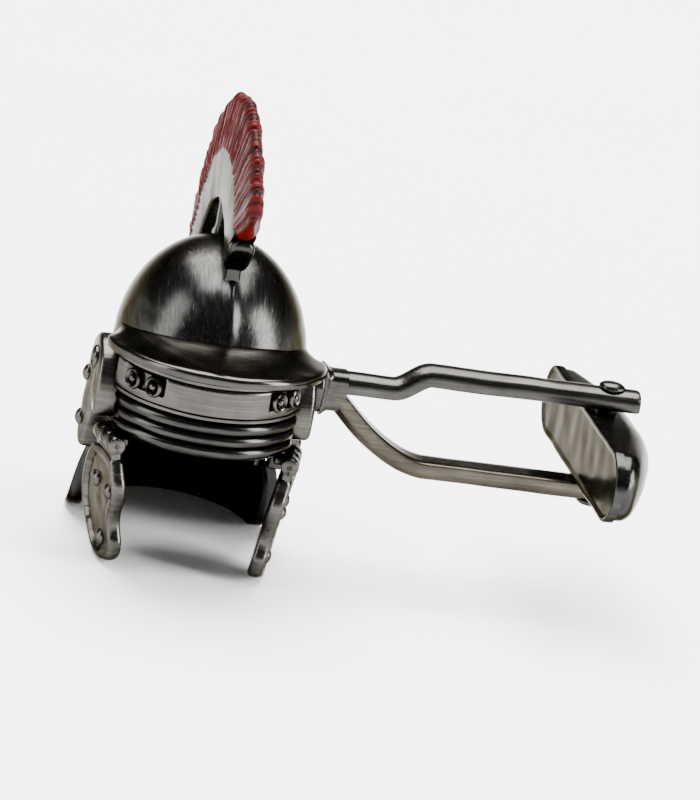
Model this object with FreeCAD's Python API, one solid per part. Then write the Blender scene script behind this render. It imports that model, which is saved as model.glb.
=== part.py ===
"""A cufflink whose face is a small crested helmet, with a fork post and a swivelling toggle.

Every piece is drawn in the helmet's own coordinates, in millimetres: x runs forward, y to the helmet's left,
z up from the plane that the helmet stands on, with y = 0 on its plane of symmetry.
Each exported piece is then shifted so that the origin is where the fork root leaves its pad.
"""

import FreeCAD, Part
import math
import os

from FreeCAD import Vector

UP = Vector(0, 0, 1)
FORWARD = Vector(1, 0, 0)
LEFT = Vector(0, 1, 0)

# ---- helmet bowl ----
BOWL_LENGTH_RADIUS = 6.3      # half length, along x
BOWL_WIDTH_RADIUS = 5.2       # half width, along y
BOWL_WALL = 0.9
EQUATOR_Z = 11.5              # height where the dome starts on the straight wall
FRONT_EDGE_Z = 7.45           # lower edge of the wall at the front and sides
NAPE_EDGE_Z = 4.6             # lower edge of the wall at the back
NAPE_START_ANGLE = 115        # degrees from straight ahead where the deep back wall starts
SQUEEZE = BOWL_WIDTH_RADIUS / BOWL_LENGTH_RADIUS

# ---- brow peak, band and ribs ----
PEAK_TIP_X = 9.8
PEAK_RADIUS = 7.15
PEAK_TOP_Z = 13.7
PEAK_BOTTOM_Z = 11.9
PEAK_TOP_DROP = 0.75          # how far the top falls from the dome to the lip
PEAK_END_ANGLE = 80
PEAK_CONE_RADIUS = 5.6        # where the sloping top starts
PEAK_LIP_RADIUS = 10.0
BAND_THICKNESS = 0.35
BAND_TOP_Z = PEAK_BOTTOM_Z - 0.35
BAND_HEIGHT = 2.05
BAND_HALF_ANGLE = 67
ROSETTE_ANGLES = (38, 52)
ROSETTE_RADIUS = 0.55
ROSETTE_HEIGHT = 0.3
ROSETTE_STEM = 0.4
ROSETTE_DROP = 0.45 * BAND_HEIGHT  # from the band's top edge to the buttons' centres
FRONT_RIB_RADIUS = 0.34
FRONT_RIB_PITCH = 0.66
FRONT_RIB_HALF_ANGLE = 66
FRONT_RIB_TOP_Z = FRONT_EDGE_Z + 1.66
NECK_RIB_RADIUS = 0.62
NECK_RIB_PITCH = 1.36
NECK_RIB_START_ANGLE = 119
NECK_RIB_TOP_Z = NAPE_EDGE_Z + 3.39
RIB_COUNT = 3
RIB_STANDOFF = 0.3            # share of its radius that a rib's centre stands off the wall

# ---- neck guard ----
GUARD_OUTER_RADIUS = 6.8
GUARD_THICKNESS = 0.8
GUARD_SLOPE = Vector(-4.4, 0, -NAPE_EDGE_Z)
GUARD_START_ANGLE = 98
GUARD_REACH = 14.0
GUARD_EDGE_X = -2.65          # the free side edges, seen from the side
GUARD_STRAIGHT = 0.5          # how far down they run before the round corner
GUARD_BOTTOM_X = -6.8         # where the round corner meets the bottom edge
RIM_WIDTH = 0.6
RIM_PROUD = 0.22
GUARD_BOSS_RADIUS = 0.85
GUARD_BOSS_PLACES = (Vector(-6.3, 3.5, 3.4), Vector(-6.3, -3.5, 3.4), Vector(-9.8, 0, 1.4))

# ---- ear guards ----
EAR_X = -0.2
EAR_TOP_CENTRE_Z = 8.9
EAR_RADIUS = 2.6
EAR_FACE_Y = 6.0
EAR_DEPTH = 2.2               # from the face in to the bowl's wall
EAR_SLOT_WIDTH = 1.1
EAR_SLOT_TOP_Z = 8.6
EAR_STUD_RADIUS = 0.32
EAR_STUD_LENGTH = 2.0
EAR_STUD_Z = 8.35
EAR_STUD_SETBACK = 0.15
EAR_RIVET_RADIUS = 0.5
EAR_RIVET_HEIGHT = 0.35
EAR_RIVET_PLACES = ((0.2, 10.35), (-1.75, 8.9), (-2.0, 6.3))

# ---- cheek guards and their hinges ----
HINGE_CENTRE = Vector(3.2, -4.95, 6.907)
HINGE_LENGTH = 3.0
HINGE_RADIUS = 0.48
HINGE_PIN_RADIUS = 0.22
HINGE_GAP_DEPTH = 0.85        # cut below the axis for the middle knuckle
HINGE_TAB_LENGTH = 1.2
HINGE_TAB_THICKNESS = 0.5
CHEEK_TOE_IN = 12             # degrees, seen from above
CHEEK_LEAN_IN = 8             # degrees, seen from the front
CHEEK_THICKNESS = 0.8
CHEEK_BOSS_RADIUS = 0.48
CHEEK_BOSS_HEIGHT = 0.3
CHEEK_BOSS_PLACES = ((-1.0, -2.6), (1.2, -2.6), (-0.1, -5.6))

# ---- crest ----
CREST_CENTRE_X = -1.2
CREST_CENTRE_Z = 13.7
CREST_REAR_ANGLE = 188
CREST_FRONT_ANGLE = 40
RAIL_INNER_REAR = 5.45
RAIL_INNER_FRONT = 6.0
RAIL_OUTER_REAR = 7.8
RAIL_OUTER_FRONT = 8.7
RAIL_THICKNESS = 1.2
PLUME_OUTER_REAR = 10.8
PLUME_OUTER_FRONT = 11.9
PLUME_THICKNESS = 1.5
PLUME_LOBES = 16
PLUME_LOBE_RISE = 0.3
CAP_OVERHANG = 0.35           # towards the bowl, past the rail's inner edge
CAP_WIDTH = 1.4
CAP_LENGTH = 0.8
CAP_FILLET = 0.25
STRUT_X = -2.2
STRUT_WIDTH = 1.05
STRUT_THICKNESS = 0.9
STRUT_SINK = 1.5              # how far its blank starts below the top of the bowl
STRUT_HEIGHT = 4.0
FOOT_THICKNESS = 1.0
FRONT_FOOT_SIZE = 1.0
FRONT_FOOT_DEPTH = 2.6        # from the rail's inner corner down into the bowl
REAR_FOOT_START_X = -9.0
REAR_FOOT_LENGTH = 3.6
REAR_FOOT_BOTTOM_Z = 11.5
REAR_FOOT_HEIGHT = 1.5

# ---- fork ----
FORK_X = -0.4
FORK_AXIS_Z = 10.1            # middle of the root block
PAD_SIZE_X = 2.8
PAD_SIZE_Z = 2.6
PAD_THICKNESS = 0.5
PAD_CORNER = 0.7
ROOT_LENGTH = 1.0
ARM_WIDTH = 1.8
ARM_THICKNESS = 1.1
ARM_SHOULDER = 0.45           # share of the thickness where the round back starts
FORK_GAP = 4.3                # between the flat inner faces of the arms
FORK_LENGTH = 17.6            # from the pad to the square ends
UPPER_ARM_RISE = 1.0          # height of the upper arm's step
UPPER_STEP_START = 3.9
UPPER_STEP_END = 5.9
UPPER_STEP_STEPS = 6
LOWER_CURVE_END = 6.4
LOWER_CURVE_STEPS = 9
LOWER_CURVE_POWER = 1.7       # above 1 the curve leaves the root steeply and flattens out

# ---- toggle ----
PIN_DISTANCE = 16.0           # from the pad to the swivel pin
PIN_RADIUS = 0.5
PIN_CLEARANCE = 0.05
RIVET_HEAD_RADIUS = 0.75
RIVET_HEAD_HEIGHT = 0.35
TOGGLE_LENGTH = 19.0
TOGGLE_HEIGHT = 4.0
TOGGLE_BASE_THICKNESS = 0.5
TOGGLE_FLAT_OFFSET = 1.35     # from the pin's axis to the flat inner face
TOGGLE_DOME_OFFSET = 2.15     # from the pin's axis to the top of the convex face
TOGGLE_END_RISE = 0.35        # height of the convex face at the toggle's ends
TOGGLE_SHOULDER_DROP = 0.9    # how far the convex face falls towards its long edges
TOGGLE_WALL = 0.45
CAM_HALF_WIDTH = 0.72
CAM_CORNER_RADIUS = 0.84
CAM_LENGTH = 2.4
SPRING_THICKNESS = 0.2
SPRING_LENGTH = 8.0
SPRING_WIDTH = 2.2
SPRING_LIFT = 0.02

PAD_FACE_Y = EAR_FACE_Y + PAD_THICKNESS
UPPER_ARM_Z = FORK_AXIS_Z + ARM_THICKNESS / 2 + UPPER_ARM_RISE
GAP_MIDDLE_Z = UPPER_ARM_Z - ARM_THICKNESS / 2 - FORK_GAP / 2
LOWER_ARM_Z = GAP_MIDDLE_Z - FORK_GAP / 2 - ARM_THICKNESS / 2
PIN_Y = PAD_FACE_Y + PIN_DISTANCE
FRAME_ORIGIN = Vector(FORK_X, PAD_FACE_Y, FORK_AXIS_Z)


# ---- helpers ----
def export(name, *solids):
    """Write one named piece, shifted into the part's frame."""
    shape = solids[0] if len(solids) == 1 else Part.makeCompound(list(solids))
    shape = shape.copy()
    shape.translate(-FRAME_ORIGIN)
    shape.exportStep("parts/" + name + ".step")


def squeezed(shape):
    """Turn a shape that is round about z into the bowl's oval."""
    matrix = FreeCAD.Matrix()
    matrix.scale(1, SQUEEZE, 1)
    return shape.transformGeometry(matrix)


def mirrored(shape):
    """The same piece on the helmet's other side."""
    return shape.mirror(Vector(0, 0, 0), LEFT)


def polar(radius, degrees, z=0.0):
    angle = math.radians(degrees)
    return Vector(radius * math.cos(angle), radius * math.sin(angle), z)


def wedge(start, end, bottom, top, reach=30.0):
    """A pie slice about z between two angles, used to keep one stretch of a ring."""
    middle = (start + end) / 2
    arc = Part.Arc(polar(reach, start, bottom), polar(reach, middle, bottom), polar(reach, end, bottom))
    sides = [
        Part.LineSegment(Vector(0, 0, bottom), polar(reach, start, bottom)),
        arc,
        Part.LineSegment(polar(reach, end, bottom), Vector(0, 0, bottom)),
    ]
    face = Part.Face(Part.Wire([side.toShape() for side in sides]))
    return face.extrude(Vector(0, 0, top - bottom))


def ring(inner, outer, bottom, top):
    height = top - bottom
    base = Vector(0, 0, bottom)
    return Part.makeCylinder(outer, height, base).cut(Part.makeCylinder(inner, height, base))


def bowl_core():
    """The full oval that the side pieces are fitted against."""
    return squeezed(Part.makeCylinder(BOWL_LENGTH_RADIUS, EQUATOR_Z + 1, Vector(0, 0, 0)))


def outline_face(points, arcs):
    """A flat face in the x-z plane; the run after each numbered corner is an arc through the point given."""
    edges = []
    for index, point in enumerate(points):
        following = points[(index + 1) % len(points)]
        start = Vector(point[0], 0, point[1])
        end = Vector(following[0], 0, following[1])
        if index in arcs:
            through = Vector(arcs[index][0], 0, arcs[index][1])
            edges.append(Part.Arc(start, through, end).toShape())
        else:
            edges.append(Part.LineSegment(start, end).toShape())
    return Part.Face(Part.Wire(edges))


def dome_button(radius, height):
    """A low round-topped button standing on z = 0, with a short stem below it."""
    sphere_radius = (radius ** 2 + height ** 2) / (2 * height)
    ball = Part.makeSphere(sphere_radius, Vector(0, 0, height - sphere_radius))
    return ball.common(Part.makeCylinder(radius, height, Vector(0, 0, 0)))


def placed(shape, position, outward):
    """Stand a piece drawn on z = 0 on a surface whose outward direction is given."""
    result = shape.copy()
    result.Placement = FreeCAD.Placement(position, FreeCAD.Rotation(UP, outward))
    return result


# ---- helmet ----
def helmet_bowl():
    outer = BOWL_LENGTH_RADIUS
    inner = outer - BOWL_WALL
    centre = Vector(0, 0, EQUATOR_Z)
    shell = Part.makeSphere(outer, centre).cut(Part.makeSphere(inner, centre))
    shell = shell.common(Part.makeCylinder(outer + 1, outer + 1, centre))
    wall = ring(inner, outer, NAPE_EDGE_Z, EQUATOR_Z)
    front = wedge(-NAPE_START_ANGLE, NAPE_START_ANGLE, NAPE_EDGE_Z - 1, FRONT_EDGE_Z)
    return squeezed(shell.fuse(wall.cut(front)).removeSplitter())


def brow_peak():
    """A crescent brim: the bowl's circle inside, a larger circle set forward outside."""
    peak_centre_x = PEAK_TIP_X - PEAK_RADIUS
    height = PEAK_TOP_Z - PEAK_BOTTOM_Z
    outside = Part.makeCylinder(PEAK_RADIUS, height, Vector(peak_centre_x, 0, PEAK_BOTTOM_Z))
    lip_z = PEAK_TOP_Z - PEAK_TOP_DROP
    slope_top = Part.makeCone(
        PEAK_LIP_RADIUS, PEAK_CONE_RADIUS, PEAK_TOP_DROP, Vector(0, 0, lip_z))
    below = Part.makeCylinder(PEAK_LIP_RADIUS, lip_z - PEAK_BOTTOM_Z, Vector(0, 0, PEAK_BOTTOM_Z))
    crescent = outside.common(slope_top.fuse(below))
    dome = Part.makeSphere(BOWL_LENGTH_RADIUS, Vector(0, 0, EQUATOR_Z))
    crescent = crescent.cut(dome).cut(wedge(PEAK_END_ANGLE, 360 - PEAK_END_ANGLE, 0, PEAK_TOP_Z + 1))
    underside = Part.makeCylinder(PEAK_LIP_RADIUS, 1.0, Vector(0, 0, PEAK_BOTTOM_Z - 1))
    underside.rotate(Vector(0, 0, PEAK_BOTTOM_Z), LEFT, -3)
    return squeezed(crescent.cut(underside))


def brow_band():
    outer = BOWL_LENGTH_RADIUS + BAND_THICKNESS
    band = ring(BOWL_LENGTH_RADIUS, outer, BAND_TOP_Z - BAND_HEIGHT, BAND_TOP_Z)
    return squeezed(band.common(wedge(-BAND_HALF_ANGLE, BAND_HALF_ANGLE, 0, EQUATOR_Z + 2)))


def brow_rosettes():
    """Two small buttons on each side of the brow band."""
    outer = BOWL_LENGTH_RADIUS + BAND_THICKNESS
    core = squeezed(Part.makeCylinder(outer, EQUATOR_Z))
    stem = Part.makeCylinder(ROSETTE_RADIUS, ROSETTE_STEM, Vector(0, 0, -ROSETTE_STEM))
    button = dome_button(ROSETTE_RADIUS, ROSETTE_HEIGHT).fuse(stem).removeSplitter()
    buttons = []
    for angle in ROSETTE_ANGLES:
        place = polar(outer, -angle, BAND_TOP_Z - ROSETTE_DROP)
        place.y *= SQUEEZE
        outward = Vector(place.x / BOWL_LENGTH_RADIUS ** 2, place.y / BOWL_WIDTH_RADIUS ** 2, 0)
        rosette = placed(button, place, outward).cut(core)
        buttons += [rosette, mirrored(rosette)]
    return buttons


def ribs(tube_radius, pitch, top_z, start, end):
    """Stacked half-round ribs that sit on the bowl's wall."""
    core = Part.makeCylinder(BOWL_LENGTH_RADIUS, EQUATOR_Z, Vector(0, 0, 0))
    keep = wedge(start, end, 0, EQUATOR_Z)
    made = []
    for index in range(RIB_COUNT):
        centre = Vector(0, 0, top_z - index * pitch)
        torus = Part.makeTorus(BOWL_LENGTH_RADIUS + tube_radius * RIB_STANDOFF, tube_radius, centre)
        made.append(squeezed(torus.common(keep).cut(core)))
    return made


def guard_profile(inset):
    """The neck guard's outline from the side, a straight prism across the helmet."""
    points = [
        (GUARD_EDGE_X - inset, NAPE_EDGE_Z + 1),
        (GUARD_EDGE_X - inset, NAPE_EDGE_Z - GUARD_STRAIGHT),
        (GUARD_BOTTOM_X - inset * 0.4, inset),
        (-GUARD_REACH, inset),
        (-GUARD_REACH, NAPE_EDGE_Z + 1),
    ]
    face = outline_face(points, {1: (-3.75 - inset * 0.75, 1.45 + inset * 0.6)})
    face.translate(Vector(0, -GUARD_REACH, 0))
    return face.extrude(Vector(0, 2 * GUARD_REACH, 0))


def guard_sleeve(inner, outer):
    """An oval ring at the nape's lower edge, carried back and down."""
    base = ring(inner, outer, NAPE_EDGE_Z, NAPE_EDGE_Z + 1)
    base = squeezed(base.common(wedge(GUARD_START_ANGLE, 360 - GUARD_START_ANGLE, 0, EQUATOR_Z)))
    lowest = min(base.Faces, key=lambda face: face.CenterOfMass.z)
    return lowest.extrude(GUARD_SLOPE)


def neck_guard():
    sleeve = guard_sleeve(GUARD_OUTER_RADIUS - GUARD_THICKNESS, GUARD_OUTER_RADIUS)
    return sleeve.common(guard_profile(RIM_WIDTH))


def neck_guard_rim():
    """A raised bead round the guard's free edge."""
    thick = guard_sleeve(GUARD_OUTER_RADIUS - GUARD_THICKNESS - RIM_PROUD, GUARD_OUTER_RADIUS + RIM_PROUD)
    return thick.common(guard_profile(0)).cut(guard_profile(RIM_WIDTH))


def neck_guard_bosses():
    full = squeezed(Part.makeCylinder(GUARD_OUTER_RADIUS, 1, Vector(0, 0, NAPE_EDGE_Z)))
    lowest = min(full.Faces, key=lambda face: face.CenterOfMass.z)
    core = lowest.extrude(GUARD_SLOPE)
    bosses = []
    for place in GUARD_BOSS_PLACES:
        ball = Part.makeSphere(GUARD_BOSS_RADIUS, place)
        bosses.append(ball.cut(core))
    return bosses


# ---- ear and cheek guards, drawn on the right side (y < 0) ----
def ear_outline():
    half_slot = EAR_SLOT_WIDTH / 2
    right_x = EAR_X + EAR_RADIUS
    left_x = EAR_X - EAR_RADIUS
    points = [
        (right_x, EAR_TOP_CENTRE_Z),
        (left_x, EAR_TOP_CENTRE_Z),
        (left_x - 0.1, 5.9),
        (-1.3, 5.2),
        (-half_slot, 6.9),
        (-half_slot, EAR_SLOT_TOP_Z),
        (half_slot, EAR_SLOT_TOP_Z),
        (half_slot + 0.25, 7.75),
        (right_x, 7.85),
    ]
    arcs = {
        0: (EAR_X, EAR_TOP_CENTRE_Z + EAR_RADIUS),
        2: (-2.3, 4.65),
        5: (0.0, EAR_SLOT_TOP_Z + half_slot),
    }
    return outline_face(points, arcs)


def ear_guard_right():
    face = ear_outline()
    face.translate(Vector(0, -EAR_FACE_Y, 0))
    return face.extrude(Vector(0, EAR_DEPTH, 0)).cut(bowl_core())


def ear_rivet(x, z):
    return placed(dome_button(EAR_RIVET_RADIUS, EAR_RIVET_HEIGHT), Vector(x, -EAR_FACE_Y, z), -LEFT)


def ear_stud_right():
    start = Vector(0, -EAR_FACE_Y + EAR_STUD_SETBACK, EAR_STUD_Z)
    stud = Part.makeCylinder(EAR_STUD_RADIUS, EAR_STUD_LENGTH, start, LEFT)
    return stud.cut(bowl_core())


def cheek_to_helmet(shape):
    """Lean and toe in a cheek piece drawn on its hinge axis, and carry it to its place."""
    result = shape.copy()
    result.rotate(Vector(0, 0, 0), FORWARD, CHEEK_LEAN_IN)
    result.rotate(Vector(0, 0, 0), UP, CHEEK_TOE_IN)
    result.translate(HINGE_CENTRE)
    return result


def cheek_plate_outline():
    """Wide below the hinge, a waist at the front edge, and a round lower end."""
    points = [
        (-1.45, -0.45),
        (-2.75, -2.3),
        (-3.25, -3.9),
        (-0.3, -6.9),
        (1.55, -5.4),
        (1.35, -4.35),
        (2.05, -2.35),
        (1.5, -0.45),
    ]
    arcs = {
        1: (-3.1, -3.05),
        2: (-2.35, -6.1),
        3: (1.05, -6.48),
        4: (1.35, -4.9),
        5: (1.95, -3.4),
        6: (1.9, -1.3),
    }
    return outline_face(points, arcs)


def cheek_guard_right():
    face = cheek_plate_outline()
    face.translate(Vector(0, -CHEEK_THICKNESS / 2, 0))
    plate = face.extrude(Vector(0, CHEEK_THICKNESS, 0))
    third = HINGE_LENGTH / 3
    gap = Part.makeBox(third, 3, 2, Vector(-third / 2, -1.5, -HINGE_GAP_DEPTH))
    plate = plate.cut(gap)
    hole = Part.makeCylinder(HINGE_PIN_RADIUS, HINGE_LENGTH, Vector(-HINGE_LENGTH / 2, 0, 0), FORWARD)
    for start in (-HINGE_LENGTH / 2, third / 2):
        knuckle = Part.makeCylinder(HINGE_RADIUS, third, Vector(start, 0, 0), FORWARD)
        plate = plate.fuse(knuckle)
    return cheek_to_helmet(plate.cut(hole).removeSplitter())


def cheek_hinge_knuckle_right():
    """The middle knuckle, with a tab that reaches back to the lower edge of the bowl."""
    third = HINGE_LENGTH / 3
    knuckle = Part.makeCylinder(HINGE_RADIUS, third, Vector(-third / 2, 0, 0), FORWARD)
    tab_corner = Vector(-third / 2, 0, -HINGE_TAB_THICKNESS / 2)
    tab = Part.makeBox(third, HINGE_TAB_LENGTH, HINGE_TAB_THICKNESS, tab_corner)
    hole = Part.makeCylinder(HINGE_PIN_RADIUS, third, Vector(-third / 2, 0, 0), FORWARD)
    rib_reach = BOWL_LENGTH_RADIUS + FRONT_RIB_RADIUS * (1 + RIB_STANDOFF)
    blocked = squeezed(Part.makeCylinder(rib_reach, BOWL_LENGTH_RADIUS, Vector(0, 0, FRONT_EDGE_Z)))
    return cheek_to_helmet(knuckle.fuse(tab).removeSplitter().cut(hole)).cut(blocked)


def cheek_hinge_pin_right():
    pin = Part.makeCylinder(HINGE_PIN_RADIUS, HINGE_LENGTH, Vector(-HINGE_LENGTH / 2, 0, 0), FORWARD)
    return cheek_to_helmet(pin)


def cheek_bosses_right():
    bosses = []
    for x, z in CHEEK_BOSS_PLACES:
        button = dome_button(CHEEK_BOSS_RADIUS, CHEEK_BOSS_HEIGHT)
        bosses.append(cheek_to_helmet(placed(button, Vector(x, -CHEEK_THICKNESS / 2, z), -LEFT)))
    return bosses


# ---- crest ----
def crest_point(radius, degrees):
    angle = math.radians(degrees)
    return (CREST_CENTRE_X + radius * math.cos(angle), CREST_CENTRE_Z + radius * math.sin(angle))


def crest_sector(inner_rear, inner_front, outer_rear, outer_front, thickness):
    """A flat arch that widens from the back of the crest to its front."""
    middle_angle = (CREST_REAR_ANGLE + CREST_FRONT_ANGLE) / 2
    points = [
        crest_point(inner_front, CREST_FRONT_ANGLE),
        crest_point(outer_front, CREST_FRONT_ANGLE),
        crest_point(outer_rear, CREST_REAR_ANGLE),
        crest_point(inner_rear, CREST_REAR_ANGLE),
    ]
    arcs = {
        1: crest_point((outer_rear + outer_front) / 2, middle_angle),
        3: crest_point((inner_rear + inner_front) / 2, middle_angle),
    }
    face = outline_face(points, arcs)
    face.translate(Vector(0, -thickness / 2, 0))
    return face.extrude(Vector(0, thickness, 0))


def crest_rail():
    rail = crest_sector(RAIL_INNER_REAR, RAIL_INNER_FRONT, RAIL_OUTER_REAR, RAIL_OUTER_FRONT, RAIL_THICKNESS)
    dome = squeezed(Part.makeSphere(BOWL_LENGTH_RADIUS, Vector(0, 0, EQUATOR_Z)))
    return rail.cut(dome)


def crest_plume():
    """Upright bristles as one body with a scalloped outer edge."""
    start = crest_point(RAIL_OUTER_FRONT, CREST_FRONT_ANGLE)
    points = [start]
    arcs = {}
    step = (CREST_REAR_ANGLE - CREST_FRONT_ANGLE) / PLUME_LOBES
    for index in range(PLUME_LOBES + 1):
        share = index / PLUME_LOBES
        radius = PLUME_OUTER_FRONT + (PLUME_OUTER_REAR - PLUME_OUTER_FRONT) * share
        angle = CREST_FRONT_ANGLE + index * step
        points.append(crest_point(radius, angle))
        if index < PLUME_LOBES:
            arcs[index + 1] = crest_point(radius + PLUME_LOBE_RISE, angle + step / 2)
    points.append(crest_point(RAIL_OUTER_REAR, CREST_REAR_ANGLE))
    middle_angle = (CREST_REAR_ANGLE + CREST_FRONT_ANGLE) / 2
    arcs[len(points) - 1] = crest_point((RAIL_OUTER_REAR + RAIL_OUTER_FRONT) / 2, middle_angle)
    face = outline_face(points, arcs)
    face.translate(Vector(0, -PLUME_THICKNESS / 2, 0))
    return face.extrude(Vector(0, PLUME_THICKNESS, 0))


def crest_strut():
    """The upright between the top of the bowl and the middle of the rail."""
    base_z = EQUATOR_Z + BOWL_LENGTH_RADIUS - STRUT_SINK
    base = Vector(STRUT_X - STRUT_WIDTH / 2, -STRUT_THICKNESS / 2, base_z)
    post = Part.makeBox(STRUT_WIDTH, STRUT_THICKNESS, STRUT_HEIGHT, base)
    dome = squeezed(Part.makeSphere(BOWL_LENGTH_RADIUS, Vector(0, 0, EQUATOR_Z)))
    rail_space = crest_sector(
        RAIL_INNER_REAR, RAIL_INNER_FRONT, PLUME_OUTER_REAR, PLUME_OUTER_FRONT, RAIL_THICKNESS)
    return post.cut(dome).cut(rail_space)


def crest_front_cap():
    """The thick collar that closes the rail's front end."""
    depth = RAIL_OUTER_FRONT - RAIL_INNER_FRONT + CAP_OVERHANG
    corner = Vector(RAIL_INNER_FRONT - CAP_OVERHANG, -CAP_WIDTH / 2, -CAP_LENGTH)
    cap = Part.makeBox(depth, CAP_WIDTH, CAP_LENGTH, corner)
    cap = cap.makeFillet(CAP_FILLET, [edge for edge in cap.Edges if edge.Length > CAP_WIDTH - 0.01])
    cap.rotate(Vector(0, 0, 0), LEFT, -CREST_FRONT_ANGLE)
    cap.translate(Vector(CREST_CENTRE_X, 0, CREST_CENTRE_Z))
    return cap


def crest_front_foot(cap):
    """The short stub from the front cap down to the bowl."""
    inner_x, inner_z = crest_point(RAIL_INNER_FRONT, CREST_FRONT_ANGLE)
    half = FRONT_FOOT_SIZE / 2
    stub = Part.makeBox(FRONT_FOOT_SIZE, FRONT_FOOT_SIZE, FRONT_FOOT_DEPTH,
                        Vector(inner_x - half, -half, inner_z - FRONT_FOOT_DEPTH))
    dome = squeezed(Part.makeSphere(BOWL_LENGTH_RADIUS, Vector(0, 0, EQUATOR_Z)))
    rail = crest_sector(RAIL_INNER_REAR, RAIL_INNER_FRONT, RAIL_OUTER_REAR, RAIL_OUTER_FRONT, CAP_WIDTH)
    return stub.cut(dome).cut(rail).cut(cap)


def crest_rear_foot(rail, plume):
    """The bracket from the back of the bowl out under the rail's rear end."""
    corner = Vector(REAR_FOOT_START_X, -FOOT_THICKNESS / 2, REAR_FOOT_BOTTOM_Z)
    bracket = Part.makeBox(REAR_FOOT_LENGTH, FOOT_THICKNESS, REAR_FOOT_HEIGHT, corner)
    core = squeezed(Part.makeSphere(BOWL_LENGTH_RADIUS, Vector(0, 0, EQUATOR_Z)))
    wall = bowl_core()
    bracket = bracket.cut(core).cut(wall).cut(rail).cut(plume)
    return max(bracket.Solids, key=lambda solid: solid.Volume)


# ---- fork ----
def arm_section(y, z, upside):
    """A D-shaped section, flat towards the gap; upside is 1 on the upper arm and -1 on the lower."""
    half = ARM_WIDTH / 2
    flat = z - upside * ARM_THICKNESS / 2
    crown = z + upside * ARM_THICKNESS / 2
    shoulder = flat + upside * ARM_THICKNESS * ARM_SHOULDER
    points = [
        Vector(FORK_X - half, y, flat),
        Vector(FORK_X + half, y, flat),
        Vector(FORK_X + half, y, shoulder),
        Vector(FORK_X, y, crown),
        Vector(FORK_X - half, y, shoulder),
    ]
    edges = [
        Part.LineSegment(points[0], points[1]).toShape(),
        Part.LineSegment(points[1], points[2]).toShape(),
        Part.Arc(points[2], points[3], points[4]).toShape(),
        Part.LineSegment(points[4], points[0]).toShape(),
    ]
    return Part.Wire(edges)


def arm_run(start_y, start_z, end_y, end_z, upside):
    ends = [arm_section(start_y, start_z, upside), arm_section(end_y, end_z, upside)]
    return Part.makeLoft(ends, True, True)


def bent_arm(stations, upside):
    """An arm through a list of (distance from the pad, height) stations, bored for the swivel pin."""
    arm = None
    for (start, start_z), (end, end_z) in zip(stations, stations[1:]):
        run = arm_run(PAD_FACE_Y + start, start_z, PAD_FACE_Y + end, end_z, upside)
        arm = run if arm is None else arm.fuse(run)
    reach = FORK_GAP / 2 + 2 * ARM_THICKNESS
    hole = Part.makeCylinder(PIN_RADIUS, 2 * reach, Vector(FORK_X, PIN_Y, GAP_MIDDLE_Z - reach))
    return arm.removeSplitter().cut(hole)


def fork_arm_upper():
    """Straight from the root, then a smooth step up, then straight to its end."""
    low = FORK_AXIS_Z + ARM_THICKNESS / 2
    stations = [(ROOT_LENGTH, low)]
    for index in range(UPPER_STEP_STEPS + 1):
        share = index / UPPER_STEP_STEPS
        rise = UPPER_ARM_RISE * (1 - math.cos(math.pi * share)) / 2
        stations.append((UPPER_STEP_START + (UPPER_STEP_END - UPPER_STEP_START) * share, low + rise))
    return bent_arm(stations + [(FORK_LENGTH, UPPER_ARM_Z)], 1)


def fork_arm_lower():
    """A curve that falls away from the root and flattens into the straight."""
    high = FORK_AXIS_Z - ARM_THICKNESS / 2
    stations = []
    for index in range(LOWER_CURVE_STEPS + 1):
        share = index / LOWER_CURVE_STEPS
        distance = ROOT_LENGTH + (LOWER_CURVE_END - ROOT_LENGTH) * share
        height = LOWER_ARM_Z + (high - LOWER_ARM_Z) * (1 - share) ** LOWER_CURVE_POWER
        stations.append((distance, height))
    return bent_arm(stations + [(FORK_LENGTH, LOWER_ARM_Z)], -1)


def fork_root():
    """The block where both arms meet, standing on its solder pad."""
    halves = []
    for upside in (1, -1):
        height = FORK_AXIS_Z + upside * ARM_THICKNESS / 2
        halves.append(arm_run(PAD_FACE_Y, height, PAD_FACE_Y + ROOT_LENGTH, height, upside))
    return halves[0].fuse(halves[1]).removeSplitter()


def solder_pad():
    corner = Vector(FORK_X - PAD_SIZE_X / 2, EAR_FACE_Y, FORK_AXIS_Z - PAD_SIZE_Z / 2)
    pad = Part.makeBox(PAD_SIZE_X, PAD_THICKNESS, PAD_SIZE_Z, corner)
    upright = [edge for edge in pad.Edges if abs(edge.Length - PAD_THICKNESS) < 0.01]
    return pad.makeFillet(PAD_CORNER, upright)


# ---- toggle, drawn about the swivel pin with its length across the fork ----
def toggle_stadium(length, height, near, far):
    """A bar with round ends, from one distance along y to another."""
    straight = length / 2 - height / 2
    bar = Part.makeBox(2 * straight, far - near, height, Vector(-straight, near, -height / 2))
    for side in (-1, 1):
        bar = bar.fuse(Part.makeCylinder(height / 2, far - near, Vector(side * straight, near, 0), LEFT))
    return bar.removeSplitter()


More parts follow.
